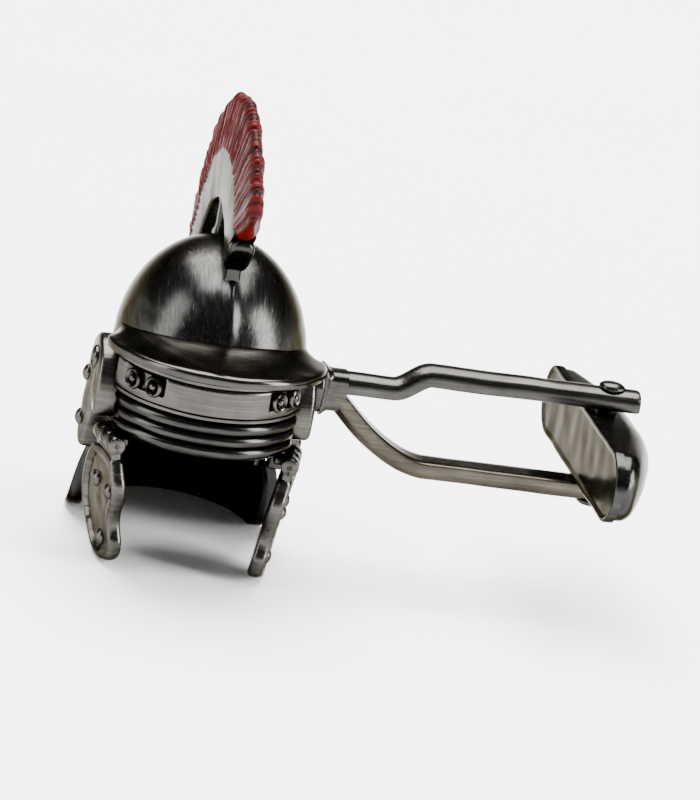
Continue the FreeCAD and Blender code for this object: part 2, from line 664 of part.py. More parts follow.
def toggle_dome(inset):
    """The convex cover: curved along its length and rounded over its long edges."""
    length = TOGGLE_LENGTH - 2 * inset
    height = TOGGLE_HEIGHT - 2 * inset
    near = -TOGGLE_FLAT_OFFSET + TOGGLE_BASE_THICKNESS
    crown = TOGGLE_DOME_OFFSET - inset
    bar = toggle_stadium(length, height, near, crown)
    fall = crown - TOGGLE_END_RISE
    long_radius = ((length / 2) ** 2 + fall ** 2) / (2 * fall)
    long_curve = Part.makeCylinder(long_radius, height, Vector(0, crown - long_radius, -height / 2))
    drop = TOGGLE_SHOULDER_DROP
    cross_radius = ((height / 2) ** 2 + drop ** 2) / (2 * drop)
    cross_curve = Part.makeCylinder(
        cross_radius, length, Vector(-length / 2, crown - cross_radius, 0), FORWARD)
    corner = Vector(-length / 2, crown - drop - cross_radius, -height / 2)
    below_shoulders = Part.makeBox(length, cross_radius, height, corner)
    return bar.common(long_curve).common(cross_curve.fuse(below_shoulders)).removeSplitter()


def at_pin(shape):
    result = shape.copy()
    result.translate(Vector(FORK_X, PIN_Y, GAP_MIDDLE_Z))
    return result


def toggle_shell():
    cover = toggle_dome(0).cut(toggle_dome(TOGGLE_WALL))
    bore_start = Vector(0, 0, -TOGGLE_HEIGHT / 2 - 0.5)
    bore = Part.makeCylinder(PIN_RADIUS + PIN_CLEARANCE, TOGGLE_HEIGHT + 1, bore_start)
    return at_pin(cover.cut(bore))


def toggle_base():
    """The flat tray that closes the toggle on the side that rests on the cloth."""
    near = -TOGGLE_FLAT_OFFSET
    return at_pin(toggle_stadium(TOGGLE_LENGTH, TOGGLE_HEIGHT, near, near + TOGGLE_BASE_THICKNESS))


def toggle_spring():
    """A leaf that bears on the cam; it is drawn at the lift that the cam's corners give it."""
    start = Vector(-SPRING_LENGTH / 2, CAM_CORNER_RADIUS + SPRING_LIFT, -SPRING_WIDTH / 2)
    leaf = Part.makeBox(SPRING_LENGTH, SPRING_THICKNESS, SPRING_WIDTH, start)
    return at_pin(leaf)


def toggle_cam():
    """A square collar with rounded corners, fixed on the pin."""
    side = 2 * CAM_HALF_WIDTH
    block = Part.makeBox(side, side, CAM_LENGTH, Vector(-CAM_HALF_WIDTH, -CAM_HALF_WIDTH, -CAM_LENGTH / 2))
    block = block.common(Part.makeCylinder(CAM_CORNER_RADIUS, CAM_LENGTH, Vector(0, 0, -CAM_LENGTH / 2)))
    return at_pin(block.cut(Part.makeCylinder(PIN_RADIUS, CAM_LENGTH, Vector(0, 0, -CAM_LENGTH / 2))))


def toggle_pin():
    """A rivet through both arms, with a raised head on the upper one."""
    half = FORK_GAP / 2 + ARM_THICKNESS
    shank = Part.makeCylinder(PIN_RADIUS, 2 * half, Vector(0, 0, -half))
    heads = []
    for side in (-1, 1):
        head = dome_button(RIVET_HEAD_RADIUS, RIVET_HEAD_HEIGHT)
        heads.append(placed(head, Vector(0, 0, side * (half - 0.01)), UP * side))
    pin = shank.fuse(heads[0]).fuse(heads[1]).removeSplitter()
    return at_pin(pin).cut(fork_arm_upper()).cut(fork_arm_lower())


def build():
    os.makedirs("parts", exist_ok=True)

    export("helmet_bowl", helmet_bowl())
    export("brow_peak", brow_peak())
    export("brow_band", brow_band())
    export("brow_rosettes", *brow_rosettes())
    export("front_ribs", *ribs(
        FRONT_RIB_RADIUS, FRONT_RIB_PITCH, FRONT_RIB_TOP_Z, -FRONT_RIB_HALF_ANGLE, FRONT_RIB_HALF_ANGLE))
    export("neck_ribs", *ribs(
        NECK_RIB_RADIUS, NECK_RIB_PITCH, NECK_RIB_TOP_Z, NECK_RIB_START_ANGLE, 360 - NECK_RIB_START_ANGLE))
    export("neck_guard", neck_guard())
    export("neck_guard_rim", neck_guard_rim())
    export("neck_guard_bosses", *neck_guard_bosses())

    ear = ear_guard_right()
    stud = ear_stud_right()
    rivets = [ear_rivet(x, z) for x, z in EAR_RIVET_PLACES]
    export("ear_guard_right", ear)
    export("ear_guard_left", mirrored(ear))
    export("ear_guard_rivets", *rivets, mirrored(rivets[-1]))
    export("ear_guard_studs", stud, mirrored(stud))

    cheek = cheek_guard_right()
    knuckle = cheek_hinge_knuckle_right()
    hinge_pin = cheek_hinge_pin_right()
    bosses = cheek_bosses_right()
    export("cheek_guard_right", cheek)
    export("cheek_guard_left", mirrored(cheek))
    export("cheek_guard_bosses", *bosses, *[mirrored(boss) for boss in bosses])
    export("cheek_hinge_knuckles", knuckle, mirrored(knuckle))
    export("cheek_hinge_pins", hinge_pin, mirrored(hinge_pin))

    rail = crest_rail()
    plume = crest_plume()
    cap = crest_front_cap()
    export("crest_rail", rail)
    export("crest_plume", plume)
    export("crest_strut", crest_strut())
    export("crest_front_cap", cap)
    export("crest_front_foot", crest_front_foot(cap))
    export("crest_rear_foot", crest_rear_foot(rail, plume))

    export("solder_pad", solder_pad())
    export("fork_root", fork_root())
    export("fork_arm_upper", fork_arm_upper())
    export("fork_arm_lower", fork_arm_lower())
    export("toggle_pin", toggle_pin())
    export("toggle_cam", toggle_cam())
    export("toggle_shell", toggle_shell())
    export("toggle_base", toggle_base())
    export("toggle_spring", toggle_spring())


build()
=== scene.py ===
import math

import bmesh
import bpy
import numpy as np
from mathutils import Matrix, Vector, geometry, noise


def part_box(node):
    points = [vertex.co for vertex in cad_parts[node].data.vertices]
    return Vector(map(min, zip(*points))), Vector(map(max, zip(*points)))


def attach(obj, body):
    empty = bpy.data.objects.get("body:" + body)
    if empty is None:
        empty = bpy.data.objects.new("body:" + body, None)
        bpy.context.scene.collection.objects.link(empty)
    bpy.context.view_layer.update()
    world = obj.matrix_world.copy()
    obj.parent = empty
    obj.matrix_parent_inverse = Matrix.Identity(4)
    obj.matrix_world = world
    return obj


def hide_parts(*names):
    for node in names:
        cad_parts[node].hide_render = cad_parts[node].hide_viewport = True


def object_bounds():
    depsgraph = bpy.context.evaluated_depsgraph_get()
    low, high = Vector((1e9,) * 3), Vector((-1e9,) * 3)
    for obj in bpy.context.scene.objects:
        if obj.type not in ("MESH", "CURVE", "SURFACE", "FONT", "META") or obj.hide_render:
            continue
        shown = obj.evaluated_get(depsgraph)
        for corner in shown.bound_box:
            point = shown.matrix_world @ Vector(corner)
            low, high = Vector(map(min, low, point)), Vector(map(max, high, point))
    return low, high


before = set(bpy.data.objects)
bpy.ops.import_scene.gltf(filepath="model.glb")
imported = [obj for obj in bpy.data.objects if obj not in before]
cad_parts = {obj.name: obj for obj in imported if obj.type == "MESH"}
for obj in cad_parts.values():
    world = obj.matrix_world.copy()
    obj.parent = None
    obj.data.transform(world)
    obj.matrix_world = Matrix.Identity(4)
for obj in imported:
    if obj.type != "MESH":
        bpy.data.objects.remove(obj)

cad_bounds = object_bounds()

# Shapes are drawn in millimetres in the helmet's own coordinates: x forward, y to its left, z up from the
# plane it stands on. The frame says where that is.
MM = 0.001
BOWL_LOW, BOWL_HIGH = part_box("helmet_bowl")
STANDING_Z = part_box("neck_guard_rim")[0].z
HELMET_ORIGIN = Vector(((BOWL_LOW.x + BOWL_HIGH.x) / 2, (BOWL_LOW.y + BOWL_HIGH.y) / 2, STANDING_Z))
BOWL_A = (BOWL_HIGH.x - BOWL_LOW.x) / 2 / MM
BOWL_B = (BOWL_HIGH.y - BOWL_LOW.y) / 2 / MM
SQUEEZE = BOWL_B / BOWL_A
EQUATOR_Z = (BOWL_HIGH.z - HELMET_ORIGIN.z) / MM - BOWL_A
NAPE_Z = (BOWL_LOW.z - HELMET_ORIGIN.z) / MM
FRONT_Z = 7.45
BOWL_WALL = 0.9
TINY = 1e-4


def helmet_box(node):
    """A CAD node's lowest and highest corners in helmet millimetres."""
    low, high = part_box(node)
    return (low - HELMET_ORIGIN) / MM, (high - HELMET_ORIGIN) / MM


def to_frame(point):
    return HELMET_ORIGIN + Vector(point) * MM


def smoothstep(low, high, value):
    share = min(1.0, max(0.0, (value - low) / (high - low)))
    return share * share * (3 - 2 * share)


def mix(low, high, share):
    return low + (high - low) * share


def spread(low, high, count):
    return [mix(low, high, index / (count - 1)) for index in range(count)]


def quarter_round(distance, radius):
    """The height of a rounded edge as a share: 0 at the edge itself, 1 from the radius inwards."""
    share = 1 - min(1.0, distance / radius)
    return math.sqrt(max(0.0, 1 - share ** 2))


def wobble(point, size, amount):
    """A smooth random offset that always comes out the same at one place."""
    return noise.noise(Vector(point) / size) * amount


# ---- mesh tools ----
SHARP_ANGLE = math.radians(42)
MERGE_DISTANCE = 1e-7


def finish_mesh(name, points, faces, material, body="cufflink"):
    """Make the object from helmet millimetres, shade it smooth except at real corners, and let it ride."""
    mesh = bpy.data.meshes.new(name)
    mesh.from_pydata([to_frame(point) for point in points], [], faces)
    work = bmesh.new()
    work.from_mesh(mesh)
    bmesh.ops.remove_doubles(work, verts=work.verts, dist=MERGE_DISTANCE)
    bmesh.ops.recalc_face_normals(work, faces=work.faces)
    for face in work.faces:
        face.smooth = True
    for edge in work.edges:
        if len(edge.link_faces) == 2 and edge.calc_face_angle(0) > SHARP_ANGLE:
            edge.smooth = False
    work.to_mesh(mesh)
    work.free()
    piece = bpy.data.objects.new(name, mesh)
    bpy.context.scene.collection.objects.link(piece)
    mesh.materials.append(material)
    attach(piece, body)
    return piece


def skin(rings, closed_path=False):
    """Faces over a list of equal closed rings; an open path is capped at both ends."""
    count = len(rings[0])
    points = [point for ring in rings for point in ring]
    faces = []
    last = len(rings) if closed_path else len(rings) - 1
    for row in range(last):
        following = (row + 1) % len(rings)
        for column in range(count):
            beside = (column + 1) % count
            faces.append((row * count + column, row * count + beside,
                          following * count + beside, following * count + column))
    if not closed_path:
        faces.append(tuple(range(count)))
        faces.append(tuple((len(rings) - 1) * count + index for index in reversed(range(count))))
    return points, faces


def joined(parts):
    """Several point-and-face lists as one."""
    points, faces = [], []
    for some_points, some_faces in parts:
        offset = len(points)
        points += some_points
        faces += [tuple(index + offset for index in face) for face in some_faces]
    return points, faces


def mirrored_part(part):
    points, faces = part
    return [Vector((p[0], -p[1], p[2])) for p in points], [tuple(reversed(face)) for face in faces]


def both_sides(part):
    return joined([part, mirrored_part(part)])


def lathe(profile, centre, outward, segments=36, uneven=0.0):
    """A turned shape from (radius, height) pairs whose first and last radii are zero."""
    uneven_size = 0.7
    axis = Vector(outward).normalized()
    side = Vector((0, 0, 1)).cross(axis)
    if side.length < 1e-6:
        side = Vector((1, 0, 0)).cross(axis)
    side.normalize()
    up = axis.cross(side)
    rings = []
    for radius, height in profile:
        ring = []
        for index in range(segments):
            angle = 2 * math.pi * index / segments
            direction = side * math.cos(angle) + up * math.sin(angle)
            place = Vector(centre) + direction * max(radius, TINY) + axis * height
            ring.append(place + direction * wobble(place, uneven_size, uneven * radius))
        rings.append(ring)
    return skin(rings)


def rounded_section(width, height, corner, steps=4):
    """A rectangle with rounded corners, as (across, up) pairs."""
    corner = min(corner, width / 2 - TINY, height / 2 - TINY)
    made = []
    for quarter, (right, top) in enumerate(((1, 1), (-1, 1), (-1, -1), (1, -1))):
        for step in range(steps + 1):
            angle = math.pi / 2 * (quarter + step / steps)
            made.append((right * (width / 2 - corner) + corner * math.cos(angle),
                         top * (height / 2 - corner) + corner * math.sin(angle)))
    return made


def segment_distance(points, outline):
    """Distance from each point to a closed outline."""
    run = np.roll(outline, -1, axis=0) - outline
    length = (run ** 2).sum(1)
    best = np.full(len(points), np.inf)
    for index in range(len(outline)):
        offset = points - outline[index]
        share = np.clip((offset @ run[index]) / max(length[index], 1e-12), 0, 1)
        gap = offset - share[:, None] * run[index]
        best = np.minimum(best, np.sqrt((gap ** 2).sum(1)))
    return best


def inside_outline(points, outline):
    x, y = points[:, 0], points[:, 1]
    result = np.zeros(len(points), bool)
    for (x1, y1), (x2, y2) in zip(outline, np.roll(outline, -1, axis=0)):
        result ^= ((y1 > y) != (y2 > y)) & (x < (x2 - x1) * (y - y1) / (y2 - y1 + 1e-15) + x1)
    return result


def divided(path, spacing):
    """A closed path of 2D points, evenly divided, as an array."""
    made = []
    for index, point in enumerate(path):
        following = path[(index + 1) % len(path)]
        steps = max(1, round((following - point).length / spacing))
        made += [point.lerp(following, step / steps) for step in range(steps)]
    return np.array([(point.x, point.y) for point in made])


def rounded_outline(corners, spacing=0.12, passes=2):
    """A closed outline through corners, relaxed into smooth curves and evenly divided."""
    path = [Vector(corner) for corner in corners]
    for _ in range(passes):
        cut = []
        for index, point in enumerate(path):
            following = path[(index + 1) % len(path)]
            cut += [point.lerp(following, 0.25), point.lerp(following, 0.75)]
        path = cut
    return divided(path, spacing)


# Insets of the rings of points that carry a plaque's rounded edge, and how much nearer to the edge than its
# inset a ring point may come, as it does in a sharp corner, before it is dropped.
EDGE_RINGS = (0.03, 0.08, 0.15, 0.24, 0.34, 0.46)
RING_SLACK = 0.93
TRIANGLE_ROW = 0.866
ON_EDGE = 1e-5
SAME_POINT = 1e-6


def edge_ring_points(outline):
    """Rings of points just inside an anticlockwise outline."""
    run = np.roll(outline, -1, axis=0) - np.roll(outline, 1, axis=0)
    length = np.maximum(np.sqrt((run ** 2).sum(1)), 1e-9)
    inward = np.stack([-run[:, 1], run[:, 0]], 1) / length[:, None]
    rings = []
    for inset in EDGE_RINGS:
        ring = outline + inward * inset
        keep = inside_outline(ring, outline) & (segment_distance(ring, outline) > inset * RING_SLACK)
        rings.append(ring[keep])
    return rings


def grid_points(outline, spacing):
    """A grid of equal triangles' corners, further in than the edge rings."""
    low, high = outline.min(0), outline.max(0)
    row_height = spacing * TRIANGLE_ROW
    grid = []
    for row in range(int((high[1] - low[1]) / row_height) + 1):
        shift = spacing / 2 if row % 2 else 0.0
        for column in range(int((high[0] - low[0]) / spacing) + 1):
            grid.append((low[0] + shift + column * spacing, low[1] + row * row_height))
    grid = np.array(grid)
    grid = grid[inside_outline(grid, outline)]
    return grid[segment_distance(grid, outline) > EDGE_RINGS[-1] + spacing / 2]


def two_sided(triangles, total):
    """The front's triangles, the same ones turned over for the back, and a wall along every free edge."""
    faces = [tuple(triangle) for triangle in triangles]
    faces += [tuple(index + total for index in reversed(triangle)) for triangle in triangles]
    uses = {}
    for triangle in triangles:
        for index in range(3):
            pair = (triangle[index], triangle[(index + 1) % 3])
            uses.setdefault(tuple(sorted(pair)), []).append(pair)
    for pairs in uses.values():
        if len(pairs) == 1:
            start, end = pairs[0]
            faces.append((end, start, start + total, end + total))
    return faces


def plaque(outline, height, back, place, spacing=0.14):
    """A sculpted plate: height(u, v, d) is its face at distance d from its edge, back(u, v, d) its back."""
    following = np.roll(outline, -1, axis=0)
    if (outline[:, 0] * following[:, 1] - following[:, 0] * outline[:, 1]).sum() < 0:
        outline = outline[::-1]
    every = np.concatenate([outline] + edge_ring_points(outline) + [grid_points(outline, spacing)])
    count = len(outline)
    border = [(index, (index + 1) % count) for index in range(count)]
    flat, _, triangles, _, _, _ = geometry.delaunay_2d_cdt(
        [Vector(p) for p in every], border, [list(range(count))], 1, SAME_POINT)
    flat = np.array([(p.x, p.y) for p in flat])
    depth = segment_distance(flat, outline)
    depth[depth < ON_EDGE] = 0.0
    front = [place(u, v, height(u, v, d)) for (u, v), d in zip(flat, depth)]
    rear = [place(u, v, back(u, v, d)) for (u, v), d in zip(flat, depth)]
    return front + rear, two_sided(triangles, len(flat))


# ---- materials ----
def new_material(name):
    material = bpy.data.materials.new(name)
    material.use_nodes = True
    tree = material.node_tree
    tree.nodes.clear()
    output = tree.nodes.new("ShaderNodeOutputMaterial")
    shader = tree.nodes.new("ShaderNodeBsdfPrincipled")
    tree.links.new(shader.outputs["BSDF"], output.inputs["Surface"])
    return material, tree, shader


def grey(value):
    return (value, value, value)


def ramp(tree, source, stops):
    node = tree.nodes.new("ShaderNodeValToRGB")
    elements = node.color_ramp.elements
    while len(elements) < len(stops):
        elements.new(0.5)
    for element, (position, colour) in zip(elements, stops):
        element.position = position
        element.color = (*colour, 1.0)
    tree.links.new(source, node.inputs["Fac"])
    return node.outputs["Color"]


def grey_ramp(tree, source, low, high):
    """Grey low at 0.3 of the source, and grey high at 0.7."""
    return ramp(tree, source, [(0.3, grey(low)), (0.7, grey(high))])


EVEN = (1, 1, 1)


def stretched_noise(tree, grain, scale, detail=3.0, rotation=(0, 0, 0)):
    """Noise in object space drawn out along one axis, which gives brush strokes."""
    place = tree.nodes.new("ShaderNodeTexCoord")
    turn = tree.nodes.new("ShaderNodeMapping")
    turn.inputs["Rotation"].default_value = rotation
    tree.links.new(place.outputs["Object"], turn.inputs["Vector"])
    stretch = tree.nodes.new("ShaderNodeMapping")
    stretch.inputs["Scale"].default_value = grain
    tree.links.new(turn.outputs["Vector"], stretch.inputs["Vector"])
    texture = tree.nodes.new("ShaderNodeTexNoise")
    texture.inputs["Scale"].default_value = scale
    texture.inputs["Detail"].default_value = detail
    texture.inputs["Roughness"].default_value = 0.6
    tree.links.new(stretch.outputs["Vector"], texture.inputs["Vector"])
    return texture.outputs["Fac"]


def multiply(tree, first, second):
    node = tree.nodes.new("ShaderNodeMix")
    node.data_type = "RGBA"
    node.blend_type = "MULTIPLY"
    node.inputs["Factor"].default_value = 1.0
    tree.links.new(first, node.inputs["A"])
    tree.links.new(second, node.inputs["B"])
    return node.outputs["Result"]


def crevice(tree, distance, dark):
    """Grey that falls to dark where another surface is near: the patina left in the metal's recesses, and
    painted shade where the enamel uses it.
    """
    node = tree.nodes.new("ShaderNodeAmbientOcclusion")
    node.samples = 6
    node.inputs["Distance"].default_value = distance
    return ramp(tree, node.outputs["AO"], [(0.25, grey(dark)), (0.85, grey(1.0))])


def add_bump(tree, shader, source, strength, distance):
    bump = tree.nodes.new("ShaderNodeBump")
    bump.inputs["Strength"].default_value = strength
    bump.inputs["Distance"].default_value = distance
    tree.links.new(source, bump.inputs["Height"])
    tree.links.new(bump.outputs["Normal"], shader.inputs["Normal"])


# Dark plating absorbs at grazing angles too, so its edges don't turn white.
EDGE_TINT = (0.42, 0.41, 0.39)
CLOUD_SCALE = 420.0
FINER = 3.1
RECESS_REACH, RECESS_DARK = 0.7 * MM, 0.08


def gunmetal(name, base, worn, rough, grain, rotation=(0, 0, 0), brush=1.0):
    """Black-nickel plate: dark metal with brushed strokes, some of them paler, and patina in the recesses."""
    material, tree, shader = new_material(name)
    strokes = stretched_noise(tree, grain, 1.0, 4.0, rotation)
    clouds = stretched_noise(tree, EVEN, CLOUD_SCALE)
    fine = stretched_noise(tree, tuple(FINER * value for value in grain), 1.0, 2.0, rotation)
    half_worn = tuple(mix(dark, pale, 0.4) for dark, pale in zip(base, worn))
    tone = ramp(tree, strokes, [(0.28, base), (0.55, half_worn), (0.78, worn)])
    tone = multiply(tree, tone, grey_ramp(tree, clouds, 0.46, 0.72))
    tone = multiply(tree, tone, crevice(tree, RECESS_REACH, RECESS_DARK))
    tree.links.new(tone, shader.inputs["Base Color"])
    shader.inputs["Metallic"].default_value = 1.0
    shader.inputs["Specular Tint"].default_value = (*EDGE_TINT, 1.0)
    smooth_stroke, rough_stroke = rough - 0.07 * brush, rough + 0.10 * brush
    roughness = ramp(tree, strokes, [(0.25, grey(smooth_stroke)), (0.75, grey(rough_stroke))])
    tree.links.new(roughness, shader.inputs["Roughness"])
    add_bump(tree, shader, fine, 0.22 * brush, 0.02 * MM)
    return material


def enamel_red():
    """Satin red enamel, its red painted darker the deeper the pleats' grooves and near other surfaces, as
    painted shade.
    """
    material, tree, shader = new_material("red_enamel")
    groove = tree.nodes.new("ShaderNodeAttribute")
    groove.attribute_name = "groove"
    # painted shade: the groove depth takes the red from 0.070 on the crests down to 0.005 in the deepest
    # grooves
    tone = ramp(tree, groove.outputs["Fac"], [(0.0, (0.070, 0.0006, 0.0006)), (0.30, (0.034, 0.0004, 0.0004)),
                                              (0.66, (0.005, 0.0002, 0.0002))])
    clouds = stretched_noise(tree, EVEN, 900.0, 4.0)
    tone = multiply(tree, tone, grey_ramp(tree, clouds, 0.72, 1.0))
    # painted shade: darker red where another surface is near, in the plume's recesses
    tone = multiply(tree, tone, crevice(tree, 0.5 * MM, 0.35))
    tree.links.new(tone, shader.inputs["Base Color"])
    speck = stretched_noise(tree, EVEN, 5200.0)
    tree.links.new(grey_ramp(tree, speck, 0.34, 0.52), shader.inputs["Roughness"])
    shader.inputs["Specular IOR Level"].default_value = 0.07
    add_bump(tree, shader, speck, 0.25, 0.03 * MM)
    return material


# Scales of the noise along the brush strokes and across them.
LONG = 260.0
SHORT = 9000.0
LIE_ALONG_DOME = (0.0, math.radians(48), 0.0)
LIE_ALONG_RAIL = (0.0, math.radians(60), 0.0)
HELMET_METAL = gunmetal("helmet_gunmetal", (0.030, 0.0295, 0.029), (0.085, 0.083, 0.078), 0.20,
                        (SHORT, SHORT, LONG * 2), LIE_ALONG_DOME)
# painted light: the band, rosettes, ear and cheek pieces get a paler, warmer copy of the dome's gunmetal that
# stands in for the floor's reflection on them; the strokes and patina are its real texture
FLOOR_LIT_PLATE_METAL = gunmetal("plate_gunmetal_painted_floor_light", (0.060, 0.057, 0.052), (0.135, 0.127, 0.115), 0.22,
                       (LONG, LONG, SHORT), brush=0.8)
RIB_METAL = gunmetal("rib_gunmetal", (0.028, 0.0275, 0.026), (0.075, 0.072, 0.067), 0.18,
                     (LONG * 2, LONG * 2, SHORT), brush=0.6)
DARK_METAL = gunmetal("guard_black_nickel", (0.018, 0.018, 0.0185), (0.045, 0.044, 0.043), 0.14,
                      (LONG * 2, SHORT, LONG * 2), brush=0.5)
PEAK_METAL = gunmetal("peak_gunmetal", (0.045, 0.044, 0.042), (0.105, 0.10, 0.092), 0.16,
                      (LONG, LONG, SHORT), brush=0.5)
CREST_METAL = gunmetal("crest_gunmetal", (0.030, 0.030, 0.029), (0.070, 0.069, 0.066), 0.24,
                       (SHORT, SHORT, LONG * 2), LIE_ALONG_RAIL)
FORK_METAL = gunmetal("fork_gunmetal", (0.040, 0.039, 0.037), (0.105, 0.101, 0.093), 0.22,
                      (SHORT, LONG, SHORT), brush=0.8)
ARM_METAL = gunmetal("fork_warm_gunmetal", (0.050, 0.046, 0.038), (0.138, 0.122, 0.096), 0.20,
                     (SHORT, LONG, SHORT), brush=0.7)
TOGGLE_METAL = gunmetal("toggle_gunmetal", (0.030, 0.0303, 0.030), (0.078, 0.078, 0.076), 0.20,
                        (SHORT, LONG * 3, LONG * 3), brush=0.7)
SPRING_STEEL = gunmetal("spring_steel", (0.30, 0.30, 0.30), (0.5, 0.5, 0.5), 0.22, (LONG, SHORT, SHORT))
RED_ENAMEL = enamel_red()


# ---- helmet ----
def oval(radius, degrees, z):
    """A point on the bowl's family of ovals: radius is the half length along x."""
    angle = math.radians(degrees)
    return Vector((radius * math.cos(angle), radius * SQUEEZE * math.sin(angle), z))


def bowl_profile(off_front):
    """(radius, z) pairs up the wall's outside and down its inside, so many degrees off the front."""
    keel_rise, keel_spread = 0.26, 4.5
    inner = BOWL_A - BOWL_WALL
    bottom = mix(FRONT_Z, NAPE_Z, smoothstep(112, 117, off_front))
    keel = keel_rise * math.exp(-(off_front / keel_spread) ** 2)
    profile = [(inner, bottom + 0.08), (inner + 0.1, bottom),
               (BOWL_A - 0.1, bottom), (BOWL_A - 0.02, bottom + 0.08)]
    profile += [(BOWL_A, z) for z in spread(bottom + 0.2, EQUATOR_Z, 9)]
    for rise in spread(3, 90, 40):
        angle = math.radians(rise)
        lift = keel * math.sin(2 * angle) * (1.0 if rise < 60 else 0.8)
        profile.append(((BOWL_A + lift) * math.cos(angle), EQUATOR_Z + BOWL_A * math.sin(angle)))
    for rise in spread(90, 0, 14):
        angle = math.radians(rise)
        profile.append((inner * math.cos(angle), EQUATOR_Z + inner * math.sin(angle)))
    return profile


def bowl():
    """The hollow dome, with a faint keel in front and shallow dents that never stand proud."""
    columns = 200
    inner = BOWL_A - BOWL_WALL
    rings = []
    for column in range(columns):
        degrees = 360 * column / columns
        ring = []
        for radius, z in bowl_profile(min(degrees, 360 - degrees)):
            place = oval(max(radius, TINY), degrees, z)
            dent = wobble(place, 2.6, 0.05) + wobble(place, 1.1, 0.016)
            outward = Vector((place.x, place.y, max(0.0, z - EQUATOR_Z))).normalized()
            on_outside = radius > inner + 0.2 or z > EQUATOR_Z + inner
            ring.append(place + outward * (min(dent, 0.0) if on_outside else 0.0))
        rings.append(ring)
    return skin(rings, closed_path=True)


# The peak's section, as shares of its width out from the bowl: along its top, and back along its underside.
PEAK_TOP = (-0.15, 0.0, 0.05, 0.12, 0.2, 0.3, 0.42, 0.55, 0.68, 0.8, 0.9)
PEAK_UNDER = (0.8, 0.6, 0.4, 0.2, 0.0, -0.15)
PEAK_RADIUS = 7.15
PEAK_END = 80


def peak_section(forward):
    """(share, z) pairs of root fillet, sloping top, rounded lip and underside; forward is 1 in front."""
    low, high = helmet_box("brow_peak")
    root = mix(12.65, high.z - 0.05, forward)
    lip_top = mix(12.2, 12.95, forward)
    lip_low = lip_top - mix(0.42, 0.56, forward)
    under = mix(low.z + 0.05, 12.0, forward)
    section = [(share, lip_top + (root - lip_top) * max(0.0, 1 - share) ** 2.1) for share in PEAK_TOP]
    section += [(0.96, lip_top - 0.03), (0.99, lip_top - 0.12), (1.0, mix(lip_top, lip_low, 0.55)),
                (0.985, lip_low + 0.04), (0.95, lip_low)]
    section += [(share, mix(under, lip_low - 0.02, max(0.0, share) ** 0.8)) for share in PEAK_UNDER]
    return section


def peak():
    """The brim: its section carried round the front, narrowing to nothing at both ends."""
    centre_x = helmet_box("brow_peak")[1].x - PEAK_RADIUS
    rings = []
    for degrees in spread(-PEAK_END, PEAK_END, 130):
        angle = math.radians(degrees)
        reach = centre_x * math.cos(angle) + math.sqrt(PEAK_RADIUS ** 2 - (centre_x * math.sin(angle)) ** 2)
        width = (reach - BOWL_A) * (1 - 0.85 * smoothstep(66, PEAK_END, abs(degrees)))
        ring = []
        for share, z in peak_section(max(0.0, math.cos(angle)) ** 1.3):
            radius = BOWL_A + share * width
            if z > EQUATOR_Z:
                wall = math.sqrt(max(0.0, BOWL_A ** 2 - (z - EQUATOR_Z) ** 2))
                radius = min(radius, wall - 0.1) if share <= 0 else mix(wall, BOWL_A + width, share)
            place = oval(radius, degrees, z)
            ring.append(place + Vector((0, 0, wobble(place, 1.8, 0.05))))
        rings.append(ring)
    return skin(rings)


ROSETTE_ANGLES = (38, 52)


def band():
    """The strip under the peak: a scored line along both edges, and a sunk field round each rosette pair."""
    low, high = helmet_box("brow_band")
    height = high.z - low.z
    depth, buried, scored = 0.34, -0.2, 0.07
    field_depth, field_centre = 0.2, sum(ROSETTE_ANGLES) / 2
    section = [(buried, 0.0), (depth - 0.06, 0.0), (depth, 0.06), (depth, 0.2),
               (depth - scored, 0.25), (depth, 0.31)]
    section += [(depth + 0.02, share * height) for share in (0.24, 0.34, 0.38, 0.5, 0.62, 0.74, 0.78)]
    section += [(depth, height - 0.31), (depth - scored, height - 0.25), (depth, height - 0.2),
                (depth, height - 0.06), (depth - 0.06, height), (buried, height)]
    rings = []
    for degrees in spread(-67, 67, 150):
        in_field = smoothstep(14.5, 12.5, abs(abs(degrees) - field_centre))
        ring = []
        for out, up in section:
            if 0.36 * height < up < 0.8 * height:
                out -= field_depth * in_field
            place = oval(BOWL_A + out, degrees, low.z + up)
            uneven = 1 + wobble(place, 1.3, 0.004) if out > 0 else 1.0
            ring.append(Vector((place.x * uneven, place.y * uneven, place.z)))
        rings.append(ring)
    return skin(rings)


def bead(radius, tube, start, end, z, taper, uneven):
    """A rounded rib that follows the bowl's oval and dies away at both ends."""
    steps, sides, thinnest = 90, 18, 0.35
    rings = []
    for degrees in spread(start, end, steps):
        edge = min(degrees - start, end - degrees)
        size = tube * mix(thinnest, 1.0, smoothstep(0, taper, edge))
        ring = []
        for index in range(sides):
            angle = 2 * math.pi * index / sides
            place = oval(radius + size * math.cos(angle), degrees, z + size * math.sin(angle))
            ring.append(place + Vector((0, 0, wobble(place, 1.5, uneven * tube))))
        rings.append(ring)
    return skin(rings)


def rib_heights(node, tube):
    low, high = helmet_box(node)
    return spread(low.z + tube, high.z - tube, 3)


def front_ribs():
    """Three thin ribs, each standing a little further out than the one below it."""
    tube, end, step_out = 0.34, 66, 0.05
    parts = []
    for index, z in enumerate(rib_heights("front_ribs", tube)):
        radius = BOWL_A + tube * 0.3 - step_out * (2 - index)
        parts.append(bead(radius, tube, -end, end, z, taper=8.0, uneven=0.08))
    return joined(parts)


def neck_ribs():
    tube, end = 0.62, 119
    return joined([bead(BOWL_A + tube * 0.25, tube, end, 360 - end, z, taper=4.0, uneven=0.1)
                   for z in rib_heights("neck_ribs", tube)])


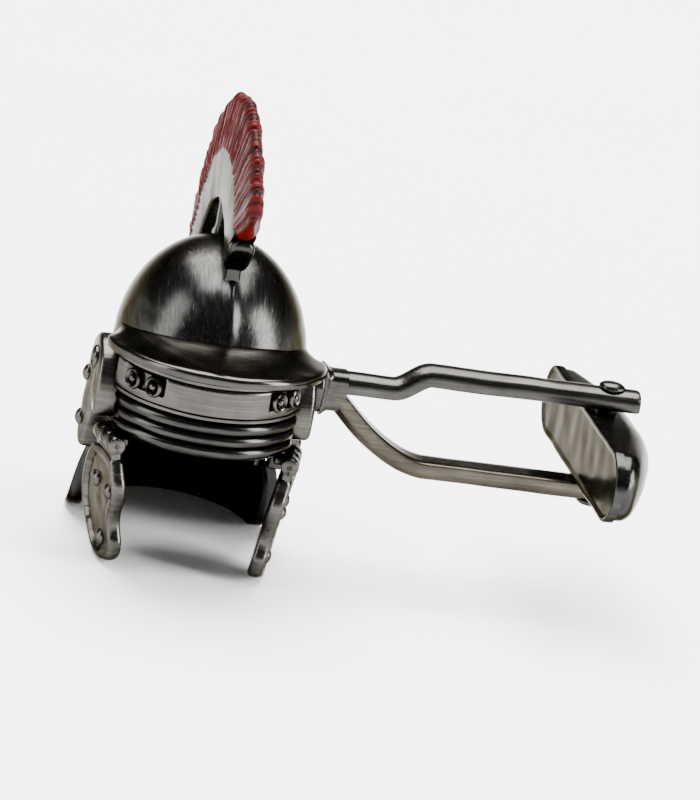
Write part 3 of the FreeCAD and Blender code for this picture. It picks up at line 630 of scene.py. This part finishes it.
def rosettes():
    low, high = helmet_box("brow_rosettes")
    profile = [(0.0, -0.3), (0.56, -0.3), (0.57, 0.02), (0.53, 0.1), (0.45, 0.15), (0.37, 0.1), (0.31, -0.03),
               (0.26, -0.06), (0.22, 0.02), (0.19, 0.12), (0.13, 0.19), (0.06, 0.22), (0.0, 0.225)]
    parts = []
    for side in (-1, 1):
        for degrees in ROSETTE_ANGLES:
            place = oval(BOWL_A + 0.35, side * degrees, (low.z + high.z) / 2)
            outward = Vector((place.x / BOWL_A ** 2, place.y / BOWL_B ** 2, 0))
            parts.append(lathe(profile, place, outward, 40, 0.1))
    return joined(parts)


# ---- neck guard ----
GUARD_RADIUS = 6.8
GUARD_RUN = 4.4
GUARD_THICKNESS = 0.8
GUARD_EDGE_ROUND = 0.3
GUARD_SIDE_X = -2.65
GUARD_CORNER = 4.0


def guard_edge_x(z):
    """Where the guard's free side edge is at one height: straight at the top, then a wide round corner."""
    top = NAPE_Z - 0.5
    if z >= top:
        return GUARD_SIDE_X
    share = (top - z) / top
    return GUARD_SIDE_X - GUARD_CORNER * (1 - math.sqrt(max(0.0, 1 - share ** 2.2)))


def guard_point(u, t, offset):
    """A point of the oblique scoop: u runs across from one side edge to the other, t down the slope."""
    z = NAPE_Z * (1 - t)
    side = (guard_edge_x(z) + GUARD_RUN * t) / GUARD_RADIUS
    start = math.degrees(math.acos(max(-1.0, min(1.0, side))))
    place = oval(GUARD_RADIUS + offset, 180 + u * (180 - start), z)
    place.x -= GUARD_RUN * t
    return place


def guard_surface(u, t, outer):
    """The outer or inner face, with its raised rim, the groove inside that, and the rounded free edge."""
    d = min((1 - abs(u)) * 8.0, (1 - t) * 6.3)
    groove = -0.07 * math.exp(-((d - 0.68) / 0.1) ** 2)
    rim = 0.21 * (smoothstep(0.0, 0.16, d) - smoothstep(0.42, 0.6, d)) + groove
    round_off = GUARD_EDGE_ROUND * (1 - quarter_round(d, GUARD_EDGE_ROUND))
    offset = rim - round_off if outer else -GUARD_THICKNESS - rim * 0.5 + round_off
    place = guard_point(u, t, offset)
    return place + place.normalized() * wobble(place, 2.2, 0.06) * smoothstep(0.4, 1.2, d)


def neck_guard():
    """The guard with its raised rim, as one closed shell."""
    across, down = 120, 60
    us = [math.sin(math.pi / 2 * value) for value in spread(-1, 1, across)]
    ts = [0.5 * (value + math.sin(math.pi / 2 * value)) for value in spread(0, 1, down)]
    rings = []
    for t in ts:
        outer = [guard_surface(u, t, True) for u in us]
        inner = [guard_surface(u, t, False) for u in us]
        rings.append(outer + inner[::-1])
    points, faces = skin(rings)
    faces = faces[:-2]
    around = 2 * across
    for start in (0, (down - 1) * around):
        for column in range(across - 1):
            faces.append((start + column, start + column + 1,
                          start + around - 2 - column, start + around - 1 - column))
    return points, faces


def guard_bosses():
    profile = [(0.0, -0.35), (0.75, -0.35), (0.74, -0.06), (0.66, 0.02), (0.55, 0.1), (0.4, 0.2),
               (0.22, 0.27), (0.08, 0.295), (0.0, 0.3)]
    nudge = 0.02
    parts = []
    for u, t in ((-0.55, 0.3), (0.55, 0.3), (0.0, 0.68)):
        place = guard_point(u, t, 0.0)
        across = guard_point(u + nudge, t, 0.0) - place
        down = guard_point(u, t + nudge, 0.0) - place
        outward = down.cross(across)
        if outward.dot(Vector((place.x, place.y, 0))) < 0:
            outward.negate()
        parts.append(lathe(profile, place, outward, 40, 0.12))
    return joined(parts)


# ---- ear guards, on the right side (y < 0) ----
EAR_FACE_Y = -6.0
EAR_SEAT_Y = -5.0
EAR_RIM = 0.42
EAR_STUD_Z = 8.35
OUT_RIGHT = (0, -1, 0)


def ear_outline():
    corners = [(2.4, 9.4), (1.9, 10.7), (0.6, 11.6), (-1.0, 11.6), (-2.3, 10.7), (-2.85, 9.4), (-2.8, 8.0),
               (-3.0, 6.6), (-3.0, 5.3), (-2.4, 4.55), (-1.7, 4.75), (-1.2, 5.6), (-0.6, 6.6), (-0.55, 7.9),
               (-0.5, 9.1), (0.5, 9.1), (0.55, 8.1), (0.85, 7.65), (1.7, 7.6), (2.4, 7.9)]
    return rounded_outline(corners, 0.11)


def ear_guard():
    """The omega-shaped plate: rounded edge, slightly crowned, uneven face."""
    def height(u, v, d):
        edge = EAR_RIM * 0.75 * quarter_round(d, EAR_RIM)
        crown = 0.1 * smoothstep(0.3, 1.1, d)
        return 0.62 + edge + crown + wobble((u, v, 0.3), 1.2, 0.07) * smoothstep(0.1, 0.5, d)

    return plaque(ear_outline(), height, lambda u, v, d: -0.35,
                  lambda u, v, w: Vector((u, EAR_SEAT_Y - w, v)))


def ear_rivets():
    """A ringed rivet and two domed ones; on the left only the lowest, because the pad covers the rest."""
    ring_profile = [(0.0, -0.3), (0.66, -0.3), (0.66, 0.0), (0.6, 0.1), (0.5, 0.16), (0.4, 0.12), (0.3, 0.02),
                    (0.18, -0.01), (0.08, 0.02), (0.0, 0.03)]
    dome_profile = [(0.0, -0.3), (0.45, -0.3), (0.46, 0.02), (0.42, 0.12), (0.32, 0.22), (0.18, 0.29),
                    (0.06, 0.315), (0.0, 0.32)]
    dome_y = EAR_FACE_Y + 0.02
    low_rivet = lathe(dome_profile, (-2.05, dome_y, 6.3), OUT_RIGHT, 32, 0.15)
    ringed = lathe(ring_profile, (0.2, EAR_FACE_Y, 10.35), OUT_RIGHT, 40, 0.12)
    middle = lathe(dome_profile, (-1.75, dome_y, 8.9), OUT_RIGHT, 32, 0.15)
    return joined([ringed, middle, both_sides(low_rivet)])


def ear_studs():
    """The upright drop-shaped stud in each ear guard's slot."""
    profile = [(0.0, 0.0), (0.3, 0.0), (0.3, 0.62), (0.27, 0.72), (0.18, 0.8), (0.07, 0.83), (0.0, 0.835)]
    points, faces = lathe(profile, (0.0, EAR_SEAT_Y, EAR_STUD_Z), OUT_RIGHT, 28, 0.1)
    return both_sides(([Vector((p.x, p.y, EAR_STUD_Z + (p.z - EAR_STUD_Z) * 1.5)) for p in points], faces))


# ---- cheek guards ----
HINGE = Vector((3.2, -4.95, 6.907))
TOE_IN = math.radians(12)
LEAN_IN = math.radians(8)
CHEEK_TURN = Matrix.Rotation(TOE_IN, 3, "Z") @ Matrix.Rotation(LEAN_IN, 3, "X")
HINGE_AXIS = CHEEK_TURN @ Vector((1, 0, 0))
HINGE_HALF = 1.5
KNUCKLE_RADIUS = 0.48
KNUCKLE_SPLITS = (0.47, 0.53)
CHEEK_EDGE, CHEEK_BACK_EDGE = 0.3, 0.28


def cheek_place(u, v, w):
    """Cheek coordinates: u forward, v up from the hinge's axis, w out from the plate's middle."""
    return HINGE + CHEEK_TURN @ Vector((u, -w, v))


def cheek_outline():
    corners = [(-1.5, -0.5), (-2.2, -1.2), (-2.9, -2.2), (-3.35, -3.4), (-3.2, -4.6), (-2.3, -5.9),
               (-1.2, -6.85), (0.1, -6.95), (1.3, -6.45), (1.75, -5.5), (1.35, -4.7), (1.35, -4.0),
               (2.0, -3.1), (2.2, -2.1), (1.75, -1.2), (1.5, -0.5)]
    return rounded_outline(corners, 0.11)


def cheek_plate():
    """The scalloped plate, whose rim and groove are strong behind and fade towards the front."""
    def height(u, v, d):
        behind = smoothstep(0.9, -0.9, u + 0.35 * (v + 4.0))
        rim = 0.17 * (smoothstep(0.06, 0.2, d) - smoothstep(0.42, 0.6, d)) * mix(0.15, 1.0, behind)
        groove = -0.08 * math.exp(-((d - 0.66) / 0.09) ** 2) * mix(0.3, 1.0, behind)
        field = wobble((u, v, 2.0), 1.0, 0.05) * smoothstep(0.5, 0.9, d)
        return 0.06 + CHEEK_EDGE * quarter_round(d, CHEEK_EDGE) + rim + groove + field

    def back(u, v, d):
        return -0.1 - CHEEK_BACK_EDGE * quarter_round(d, CHEEK_BACK_EDGE)

    return plaque(cheek_outline(), height, back, cheek_place)


def barrel(start, end):
    """A hinge knuckle with softened ends, along the cheek guard's hinge axis."""
    radius, soft, length = KNUCKLE_RADIUS, 0.07, end - start
    profile = [(0.0, 0.0), (radius - soft, 0.0), (radius - 0.02, 0.03), (radius, soft)]
    profile += [(radius, length - soft), (radius - 0.02, length - 0.03), (radius - soft, length),
                (0.0, length)]
    return lathe(profile, cheek_place(start, 0, 0), HINGE_AXIS, 28, 0.06)


def cheek_guard():
    """The plate, the neck that joins it to the hinge, and its two outer knuckles."""
    section = rounded_section(2 * HINGE_HALF, 0.55, 0.2)
    rings = [[cheek_place(across, v, out) for across, out in section] for v in spread(-0.2, -0.75, 4)]
    split = KNUCKLE_SPLITS[1]
    return joined([cheek_plate(), barrel(-HINGE_HALF, -split), barrel(split, HINGE_HALF), skin(rings)])


def cheek_bosses():
    profile = [(0.0, -0.3), (0.47, -0.3), (0.47, 0.0), (0.42, 0.1), (0.3, 0.2), (0.16, 0.26), (0.05, 0.28),
               (0.0, 0.285)]
    outward = CHEEK_TURN @ Vector(OUT_RIGHT)
    made = [lathe(profile, cheek_place(u, v, 0.34), outward, 32, 0.15)
            for u, v in ((-1.0, -2.6), (1.15, -2.6), (-0.1, -5.6))]
    return both_sides(joined(made))


def hinge_knuckles():
    """The middle knuckle of each hinge, with the leaf that runs in under the front ribs."""
    split = KNUCKLE_SPLITS[0]
    section = rounded_section(0.9, 0.45, 0.12)
    rings = [[HINGE + Vector((across, reach, up)) for across, up in section]
             for reach in spread(0.1, 0.95, 4)]
    return both_sides(joined([barrel(-split, split), skin(rings)]))


def hinge_pins():
    profile = [(0.0, 0.0), (0.16, 0.0), (0.21, 0.04), (0.22, 0.1), (0.22, 2.9), (0.21, 2.96), (0.16, 3.0),
               (0.0, 3.0)]
    return both_sides(lathe(profile, cheek_place(-HINGE_HALF, 0, 0), HINGE_AXIS, 20))


# ---- crest ----
CREST = Vector((-1.2, 0.0, 13.7))
REAR, FRONT = 188.0, 40.0
RAIL_INNER = (5.45, 6.0)
RAIL_OUTER = (7.8, 8.7)
PLUME_EDGE = (10.75, 11.85)


def crest_at(radius, degrees, y):
    angle = math.radians(degrees)
    return Vector((CREST.x + radius * math.cos(angle), y, CREST.z + radius * math.sin(angle)))


def rail():
    """The arched plate that carries the plume, uneven on both faces, with soft edges."""
    rings = []
    for degrees in spread(REAR, FRONT, 170):
        share = (REAR - degrees) / (REAR - FRONT)
        inner, outer = mix(*RAIL_INNER, share), mix(*RAIL_OUTER, share) + 0.2
        ring = []
        for across, up in rounded_section(1.17, outer - inner, 0.14):
            place = crest_at((inner + outer) / 2 + up, degrees, across)
            if abs(across) > 0.4:
                place.y += math.copysign(wobble(place, 1.6, 0.05) - 0.03, across)
            ring.append(place)
        rings.append(ring)
    return skin(rings)


def folds(degrees, share):
    """The plume's depth below its pleats' crests, from 0 on a crest to 1 in the deepest groove."""
    sway = degrees + 1.1 * noise.noise(Vector((degrees / 9, share * 1.6, 3.1)))
    coarse = abs(math.sin(math.radians(sway) * 24 + 1.3 * noise.noise(Vector((sway / 7, 5.0, 0)))))
    fine = abs(math.sin(math.radians(sway) * 62 + 2.0 * noise.noise(Vector((sway / 3, 9.0, 0)))))
    hair = noise.noise(Vector((sway * 2.2, share * 2.5, 1.7)))
    depth = mix(0.16, 0.46, share) * (1 - coarse) ** 1.5 + 0.42 * (1 - fine) ** 1.3 + 0.22 * (0.5 - hair)
    return max(0.0, min(1.0, depth))


def lobe(degrees):
    """How far the plume's scalloped edge stands out of its plain arc."""
    lobes = 15
    wave = abs(math.sin(math.pi * (degrees - FRONT) / (REAR - FRONT) * lobes))
    jitter = noise.noise(Vector((degrees / 6, 0.5, 7.0)))
    return 0.34 * wave ** 0.55 + 0.16 * jitter - 0.2


PLUME_SHARES = (0.0, 0.03, 0.08, 0.15, 0.24, 0.34, 0.44, 0.54, 0.64, 0.73, 0.81, 0.88, 0.93, 0.965, 0.985,
                0.996, 1.0)


def plume_side(degrees, near_end, half):
    """(radius, half thickness, groove depth) from the rail out to the plume's edge, at one angle."""
    along = (REAR - degrees) / (REAR - FRONT)
    start = mix(*RAIL_OUTER, min(1.0, max(0.0, along))) - 0.12
    end = mix(*PLUME_EDGE, along) + lobe(degrees) - 1.1 * (1 - quarter_round(near_end, 6.5))
    close = quarter_round(near_end, 3.2)
    side = []
    for share in PLUME_SHARES:
        depth = folds(degrees, share)
        swell = 1.0 - 0.42 * share ** 1.3
        tip = math.sqrt(max(0.0, 1 - max(0.0, (share - 0.84) / 0.16) ** 2.2))
        root = smoothstep(-0.05, 0.06, share)
        relief = 0.24 * depth * smoothstep(0.0, 0.2, share) + 0.1 * depth
        y = max(0.02, (half * swell - relief) * tip * root * close)
        nick = 0.16 * depth * max(0.0, share - 0.9) / 0.1
        side.append((mix(start, end, share) - nick, y, depth))
    return side


def plume():
    """Bristles gathered in pleats: radial folds, fine grooves between them and a scalloped outer edge."""
    low, high = helmet_box("crest_plume")
    half = (high.y - low.y) / 2 - 0.03
    angles = spread(FRONT - 1.0, REAR + 2.0, 900)
    rings, grooves = [], []
    for degrees in angles:
        near_end = min(degrees - angles[0], angles[-1] - degrees)
        side = plume_side(degrees, near_end, half)
        rings.append([crest_at(radius, degrees, -y) for radius, y, _ in side]
                     + [crest_at(radius, degrees, y) for radius, y, _ in side[::-1]])
        depths = [depth for _, _, depth in side]
        grooves += depths + depths[::-1]
    points, faces = skin(rings)
    return points, faces, grooves


def add_grooves(piece, values):
    if len(piece.data.vertices) != len(values):
        raise RuntimeError("plume vertices were merged, so its groove values no longer match")
    layer = piece.data.attributes.new("groove", "FLOAT", "POINT")
    layer.data.foreach_set("value", values)


def strut():
    """The waisted upright between bowl and rail, flared where it meets each."""
    rail_z = helmet_box("crest_strut")[1].z
    rings = []
    for share in spread(0, 1, 22):
        z = mix(17.0, rail_z + 0.35, share)
        bowl_flare = 0.75 * math.exp(-((z - 17.35) / 0.28) ** 2)
        rail_flare = 0.5 * math.exp(-((z - rail_z + 0.1) / 0.22) ** 2)
        flare = 1 + bowl_flare + rail_flare
        section = rounded_section(0.9 * flare, 0.78 * (1 + 0.3 * (flare - 1)), 0.22)
        rings.append([Vector((-2.2 + a + 0.12 * (share - 0.5), b, z)) for a, b in section])
    return skin(rings)


def front_cap():
    """The thick rounded collar across the rail's front end."""
    forward = Vector((math.sin(math.radians(FRONT)), 0, -math.cos(math.radians(FRONT))))
    thickness, width, stand_off = 0.78, 1.34, 0.36
    rings = []
    for share in spread(0, 1, 26):
        radius = mix(5.72, 8.62, share)
        ends = math.sqrt(max(0.03, 1 - abs(2 * share - 1) ** 5))
        section = rounded_section(width * (0.9 + 0.1 * ends) * ends ** 0.4, thickness * ends, 0.3, 5)
        rings.append([crest_at(radius, FRONT, across) + forward * (stand_off + along)
                      for across, along in section])
    return skin(rings)


def front_foot():
    """The short stub that stands the cap on the bowl."""
    top = crest_at(6.1, FRONT - 2, 0)
    bottom = Vector((top.x - 0.2, 0, 15.9))
    rings = []
    for share in spread(0, 1, 16):
        centre = bottom.lerp(top, share)
        size = 0.74 + 0.5 * (1 - share) ** 3 + 0.1 * share
        rings.append([centre + Vector((a, b, 0)) for a, b in rounded_section(size, size * 0.95, 0.25)])
    return skin(rings)


def rear_foot():
    """The bracket that runs out from the back of the bowl under the rail."""
    rings = []
    for share in spread(0, 1, 20):
        x = mix(-5.9, -8.75, share)
        z = mix(12.35, 12.3, share) + 0.12 * math.sin(math.pi * share)
        section = rounded_section(0.97, mix(1.25, 0.5, share ** 1.2), 0.2)
        rings.append([Vector((x, a, z + b)) for a, b in section])
    return skin(rings)


# ---- fork ----
FORK_X = -HELMET_ORIGIN.x / MM
FORK_AXIS_Z = -HELMET_ORIGIN.z / MM
ARM_WIDTH, ARM_THICKNESS = 1.8, 1.1
UP, DOWN = 1, -1


def arm_profile(upside, scale):
    """D-section: flat towards the gap, convex away from it, with softened edges."""
    half, thick = ARM_WIDTH / 2 * scale, ARM_THICKNESS * scale
    flat = -thick / 2
    made = [(-half + 0.12, flat), (-half * 0.5, flat), (0.0, flat), (half * 0.5, flat), (half - 0.12, flat),
            (half - 0.03, flat + 0.04), (half, flat + 0.14)]
    for step in range(13):
        angle = math.pi * step / 12
        rise = 0.38 * thick + 0.62 * thick * math.sin(angle) ** 0.8
        made.append((math.cos(angle) * half, flat + min(thick, rise)))
    made += [(-half, flat + 0.14), (-half + 0.03, flat + 0.04)]
    return [(across, up * upside) for across, up in made]


def arm_stations(node, upside):
    """(y, z) stations: the upper arm steps up after a short straight, the lower one curves away at once."""
    low, high = helmet_box(node)
    root_z = FORK_AXIS_Z + upside * ARM_THICKNESS / 2
    straight_z = high.z - ARM_THICKNESS / 2 if upside > 0 else low.z + ARM_THICKNESS / 2
    stations = []
    for y in spread(low.y - 0.3, high.y, 110):
        if upside > 0:
            bend = smoothstep(low.y + 2.9, low.y + 4.9, y)
        else:
            bend = 1 - (1 - min(1.0, max(0.0, (y - low.y) / 5.4))) ** 1.7
        stations.append((y, mix(root_z, straight_z, bend)))
    return stations


def arm(node, upside):
    """Carry the section along the arm with a smooth tangent, and soften the far end."""
    stations = arm_stations(node, upside)
    end_y = stations[-1][0]
    rings = []
    for index, (y, z) in enumerate(stations):
        before = stations[max(0, index - 1)]
        after = stations[min(len(stations) - 1, index + 1)]
        tangent = Vector((0, after[0] - before[0], after[1] - before[1])).normalized()
        normal = Vector((0, -tangent.z, tangent.y))
        ring = []
        for across, up in arm_profile(upside, mix(0.93, 1.0, smoothstep(0.0, 0.12, end_y - y))):
            place = Vector((FORK_X + across, y, z)) + normal * up
            ring.append(place + normal * wobble(place, 2.4, 0.035) + Vector((wobble(place, 3.1, 0.04), 0, 0)))
        rings.append(ring)
    return skin(rings)


def fork_root():
    low, high = helmet_box("fork_root")
    rings = []
    for y in spread(low.y - 0.05, high.y + 0.3, 14):
        flare = 1 + 0.22 * math.exp(-((y - low.y) / 0.25) ** 2)
        section = rounded_section(ARM_WIDTH * flare, 2 * ARM_THICKNESS * flare, 0.5, 6)
        rings.append([Vector((FORK_X + a, y, FORK_AXIS_Z + b)) for a, b in section])
    return skin(rings)


def pad():
    low, high = helmet_box("solder_pad")
    wide, tall = (high.x - low.x) / 2, (high.z - low.z) / 2
    outline = rounded_outline([(-wide, -tall), (-wide, tall), (wide, tall), (wide, -tall)])
    edge = 0.2

    def height(u, v, d):
        return 0.28 + edge * quarter_round(d, edge) + wobble((u, v, 6.0), 0.6, 0.05)

    return plaque(outline, height, lambda u, v, d: -0.1,
                  lambda u, v, w: Vector((FORK_X + u, low.y + w, FORK_AXIS_Z + v)))


# ---- toggle ----
TOGGLE_LOW, TOGGLE_HIGH = helmet_box("toggle_shell")
BASE_LOW, BASE_HIGH = helmet_box("toggle_base")
TOGGLE_X = (TOGGLE_LOW.x + TOGGLE_HIGH.x) / 2
TOGGLE_Z = (TOGGLE_LOW.z + TOGGLE_HIGH.z) / 2
HALF_LENGTH = (TOGGLE_HIGH.x - TOGGLE_LOW.x) / 2
HALF_HEIGHT = (TOGGLE_HIGH.z - TOGGLE_LOW.z) / 2
TOGGLE_GRID = 0.2


def stadium(inset):
    """The toggle's round-ended outline, set in by so much."""
    radius = HALF_HEIGHT - inset
    straight = HALF_LENGTH - HALF_HEIGHT
    made = []
    for side in (1, -1):
        for angle in spread(-math.pi / 2, math.pi / 2, 27):
            along = straight + radius * math.cos(angle)
            made.append(Vector((side * along, side * radius * math.sin(angle))))
    return divided(made, 0.16)


def toggle_shell():
    """The cover: highest across its middle, falling to both ends and rounded over to its sides."""
    inset = 0.14
    depth, end_depth = TOGGLE_HIGH.y - TOGGLE_LOW.y, 0.55

    def height(u, v, d):
        along = min(1.0, abs(u) / (HALF_LENGTH - inset))
        across = min(1.0, abs(v) / (HALF_HEIGHT - inset))
        crown = mix(depth, end_depth, along ** 2.3) * (1 - 0.36 * across ** 2.4)
        edge = 0.45 * (1 - quarter_round(d, 0.5))
        return max(0.25, crown - edge) + wobble((u, v, 4.0), 2.4, 0.05) - 0.03

    return plaque(stadium(inset), height, lambda u, v, d: 0.0,
                  lambda u, v, w: Vector((TOGGLE_X + u, TOGGLE_LOW.y + w, TOGGLE_Z + v)), TOGGLE_GRID)


def toggle_base():
    """The tray that closes the cover, with a fine raised lip."""
    thickness, edge = BASE_HIGH.y - BASE_LOW.y, 0.1

    def face(u, v, d):
        lip = 0.08 * (1 - smoothstep(0.22, 0.34, d))
        return thickness - 0.2 + edge * quarter_round(d, edge) + lip + wobble((u, v, 8.0), 1.6, 0.04)

    return plaque(stadium(0.0), face, lambda u, v, d: 0.0,
                  lambda u, v, w: Vector((TOGGLE_X + u, BASE_HIGH.y - w, TOGGLE_Z + v)), TOGGLE_GRID)


def pin():
    """The swivel rivet: a domed head outside each arm and a plain shank between them."""
    low, high = helmet_box("toggle_pin")
    length, head, shank = high.z - low.z, 0.35, 0.5
    end = [(0.0, 0.0), (0.3, 0.01), (0.55, 0.08), (0.7, 0.2), (0.72, head - 0.03), (shank, head)]
    profile = end + [(radius, length - height) for radius, height in reversed(end)]
    return lathe(profile, ((low.x + high.x) / 2, (low.y + high.y) / 2, low.z), (0, 0, 1), 36, 0.05)


# ---- build every piece ----
def add(name, part, material, nodes, body="cufflink"):
    piece = finish_mesh(name, part[0], part[1], material, body)
    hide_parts(*nodes)
    return piece


def build_helmet():
    add("bowl_shell", bowl(), HELMET_METAL, ["helmet_bowl"])
    add("peak_brim", peak(), PEAK_METAL, ["brow_peak"])
    add("band_strip", band(), FLOOR_LIT_PLATE_METAL, ["brow_band"])
    add("band_rosettes", rosettes(), FLOOR_LIT_PLATE_METAL, ["brow_rosettes"])
    add("ribs_front", front_ribs(), RIB_METAL, ["front_ribs"])
    add("ribs_neck", neck_ribs(), RIB_METAL, ["neck_ribs"])
    add("guard_scoop", neck_guard(), DARK_METAL, ["neck_guard", "neck_guard_rim"])
    add("guard_bosses", guard_bosses(), DARK_METAL, ["neck_guard_bosses"])
    ear = ear_guard()
    add("ear_plate_right", ear, FLOOR_LIT_PLATE_METAL, ["ear_guard_right"])
    add("ear_plate_left", mirrored_part(ear), FLOOR_LIT_PLATE_METAL, ["ear_guard_left"])
    add("ear_rivets", ear_rivets(), FLOOR_LIT_PLATE_METAL, ["ear_guard_rivets"])
    add("ear_studs", ear_studs(), FLOOR_LIT_PLATE_METAL, ["ear_guard_studs"])
    cheek = cheek_guard()
    add("cheek_plate_right", cheek, FLOOR_LIT_PLATE_METAL, ["cheek_guard_right"])
    add("cheek_plate_left", mirrored_part(cheek), FLOOR_LIT_PLATE_METAL, ["cheek_guard_left"])
    add("cheek_bosses", cheek_bosses(), FLOOR_LIT_PLATE_METAL, ["cheek_guard_bosses"])
    add("cheek_knuckles", hinge_knuckles(), FLOOR_LIT_PLATE_METAL, ["cheek_hinge_knuckles"])
    add("cheek_pins", hinge_pins(), FLOOR_LIT_PLATE_METAL, ["cheek_hinge_pins"])


def build_crest():
    add("rail_arch", rail(), CREST_METAL, ["crest_rail"])
    add("rail_strut", strut(), CREST_METAL, ["crest_strut"])
    add("rail_front_cap", front_cap(), CREST_METAL, ["crest_front_cap"])
    add("rail_front_foot", front_foot(), CREST_METAL, ["crest_front_foot"])
    add("rail_rear_foot", rear_foot(), CREST_METAL, ["crest_rear_foot"])
    points, faces, grooves = plume()
    add_grooves(add("plume_bristles", (points, faces), RED_ENAMEL, ["crest_plume"]), grooves)


def build_fork():
    add("post_pad", pad(), FORK_METAL, ["solder_pad"])
    add("post_root", fork_root(), FORK_METAL, ["fork_root"])
    add("arm_upper", arm("fork_arm_upper", UP), FORK_METAL, ["fork_arm_upper"])
    add("arm_lower", arm("fork_arm_lower", DOWN), ARM_METAL, ["fork_arm_lower"])
    add("swivel_rivet", pin(), FORK_METAL, ["toggle_pin"])


def build_toggle():
    add("toggle_cover", toggle_shell(), TOGGLE_METAL, ["toggle_shell"], "toggle")
    add("toggle_tray", toggle_base(), TOGGLE_METAL, ["toggle_base"], "toggle")


build_helmet()
build_crest()
build_fork()
build_toggle()
for inside_node in ("toggle_cam", "toggle_spring"):
    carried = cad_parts[inside_node]
    carried.data.materials.clear()
    carried.data.materials.append(SPRING_STEEL)


# ---- stage, light and camera ----
def paper(name, tone, dark):
    """Pale matt paper that falls to dark high on the wall, so the metal has something dark to reflect."""
    material, tree, shader = new_material(name)
    even = grey_ramp(tree, stretched_noise(tree, EVEN, 30.0, 2.0), tone - 0.01, tone)
    place = tree.nodes.new("ShaderNodeTexCoord")
    split = tree.nodes.new("ShaderNodeSeparateXYZ")
    tree.links.new(place.outputs["Object"], split.inputs["Vector"])
    shade = ramp(tree, split.outputs["Z"], [(0.12, grey(1.0)), (0.34, grey(dark))])
    tree.links.new(multiply(tree, even, shade), shader.inputs["Base Color"])
    shader.inputs["Roughness"].default_value = 0.8
    return material


def backdrop():
    """A pale round floor that sweeps up into a low wall far from the object, so no horizon shows."""
    flat_radius, sweep_radius, wall_top = 0.9, 0.7, 0.9
    segments, sweep_steps = 96, 24
    floor_z = cad_bounds[0][2]
    profile = [(radius, 0.0) for radius in (0.2, 0.5, flat_radius)]
    for step in range(1, sweep_steps + 1):
        angle = math.pi / 2 * step / sweep_steps
        profile.append((flat_radius + sweep_radius * math.sin(angle), sweep_radius * (1 - math.cos(angle))))
    profile.append((flat_radius + sweep_radius, wall_top))
    points = [(0.0, 0.0, floor_z)]
    for radius, rise in profile:
        for index in range(segments):
            angle = 2 * math.pi * index / segments
            points.append((radius * math.cos(angle), radius * math.sin(angle), floor_z + rise))
    faces = [(0, 1 + index, 1 + (index + 1) % segments) for index in range(segments)]
    for row in range(len(profile) - 1):
        start = 1 + row * segments
        for index in range(segments):
            beside = (index + 1) % segments
            faces.append((start + index, start + segments + index, start + segments + beside, start + beside))
    mesh = bpy.data.meshes.new("stage_floor")
    mesh.from_pydata(points, [], faces)
    mesh.polygons.foreach_set("use_smooth", [True] * len(faces))
    floor = bpy.data.objects.new("stage_floor", mesh)
    bpy.context.scene.collection.objects.link(floor)
    mesh.materials.append(paper("stage_paper", 0.9, 0.06))


def soft_light(name, target, away, size, power):
    """A rectangular light that faces the target from so far away, unseen by the camera."""
    data = bpy.data.lights.new(name, "AREA")
    data.shape = "RECTANGLE"
    data.size, data.size_y = size
    data.energy = power
    light = bpy.data.objects.new(name, data)
    light.location = target + Vector(away)
    light.visible_camera = False
    light.rotation_euler = (target - light.location).to_track_quat("-Z", "Y").to_euler()
    bpy.context.scene.collection.objects.link(light)


def lighting(target):
    world = bpy.data.worlds.new("studio")
    bpy.context.scene.world = world
    world.use_nodes = True
    background = world.node_tree.nodes["Background"]
    background.inputs["Color"].default_value = (1.0, 1.0, 1.0, 1.0)
    background.inputs["Strength"].default_value = 0.3
    soft_light("overhead", target, (-0.30, 0.0, 1.02), (1.08, 1.08), 81.0)
    soft_light("left_window", target, (0.12, -1.02, 0.42), (0.42, 0.90), 12.0)
    soft_light("right_window", target, (0.36, 1.02, 0.42), (0.46, 0.90), 42.0)


def camera(target):
    """In front of the helmet, a little to its right and above it, with the picture turned clockwise."""
    azimuth, elevation, roll = math.radians(78.5), math.radians(16), math.radians(10.5)
    distance = 0.20
    pixels_per_mm, picture_width = 18.5, 700
    towards = Vector((math.sin(azimuth) * math.cos(elevation), -math.cos(azimuth) * math.cos(elevation),
                      math.sin(elevation)))
    right = Vector((math.cos(azimuth), math.sin(azimuth), 0))
    up = towards.cross(right)
    turned_right = right * math.cos(roll) + up * math.sin(roll)
    turned_up = up * math.cos(roll) - right * math.sin(roll)
    data = bpy.data.cameras.new("camera")
    data.sensor_fit = "HORIZONTAL"
    data.sensor_width = 36.0
    data.lens = pixels_per_mm * data.sensor_width * (distance / MM) / picture_width
    data.clip_start = 0.01
    eye = bpy.data.objects.new("camera", data)
    bpy.context.scene.collection.objects.link(eye)
    turn = Matrix((turned_right, turned_up, towards)).transposed()
    eye.matrix_world = Matrix.Translation(target + towards * distance) @ turn.to_4x4()
    bpy.context.scene.camera = eye


LOOK_AT = Vector((0.001, 0.0015, -0.0002))
backdrop()
lighting(LOOK_AT)
camera(LOOK_AT)
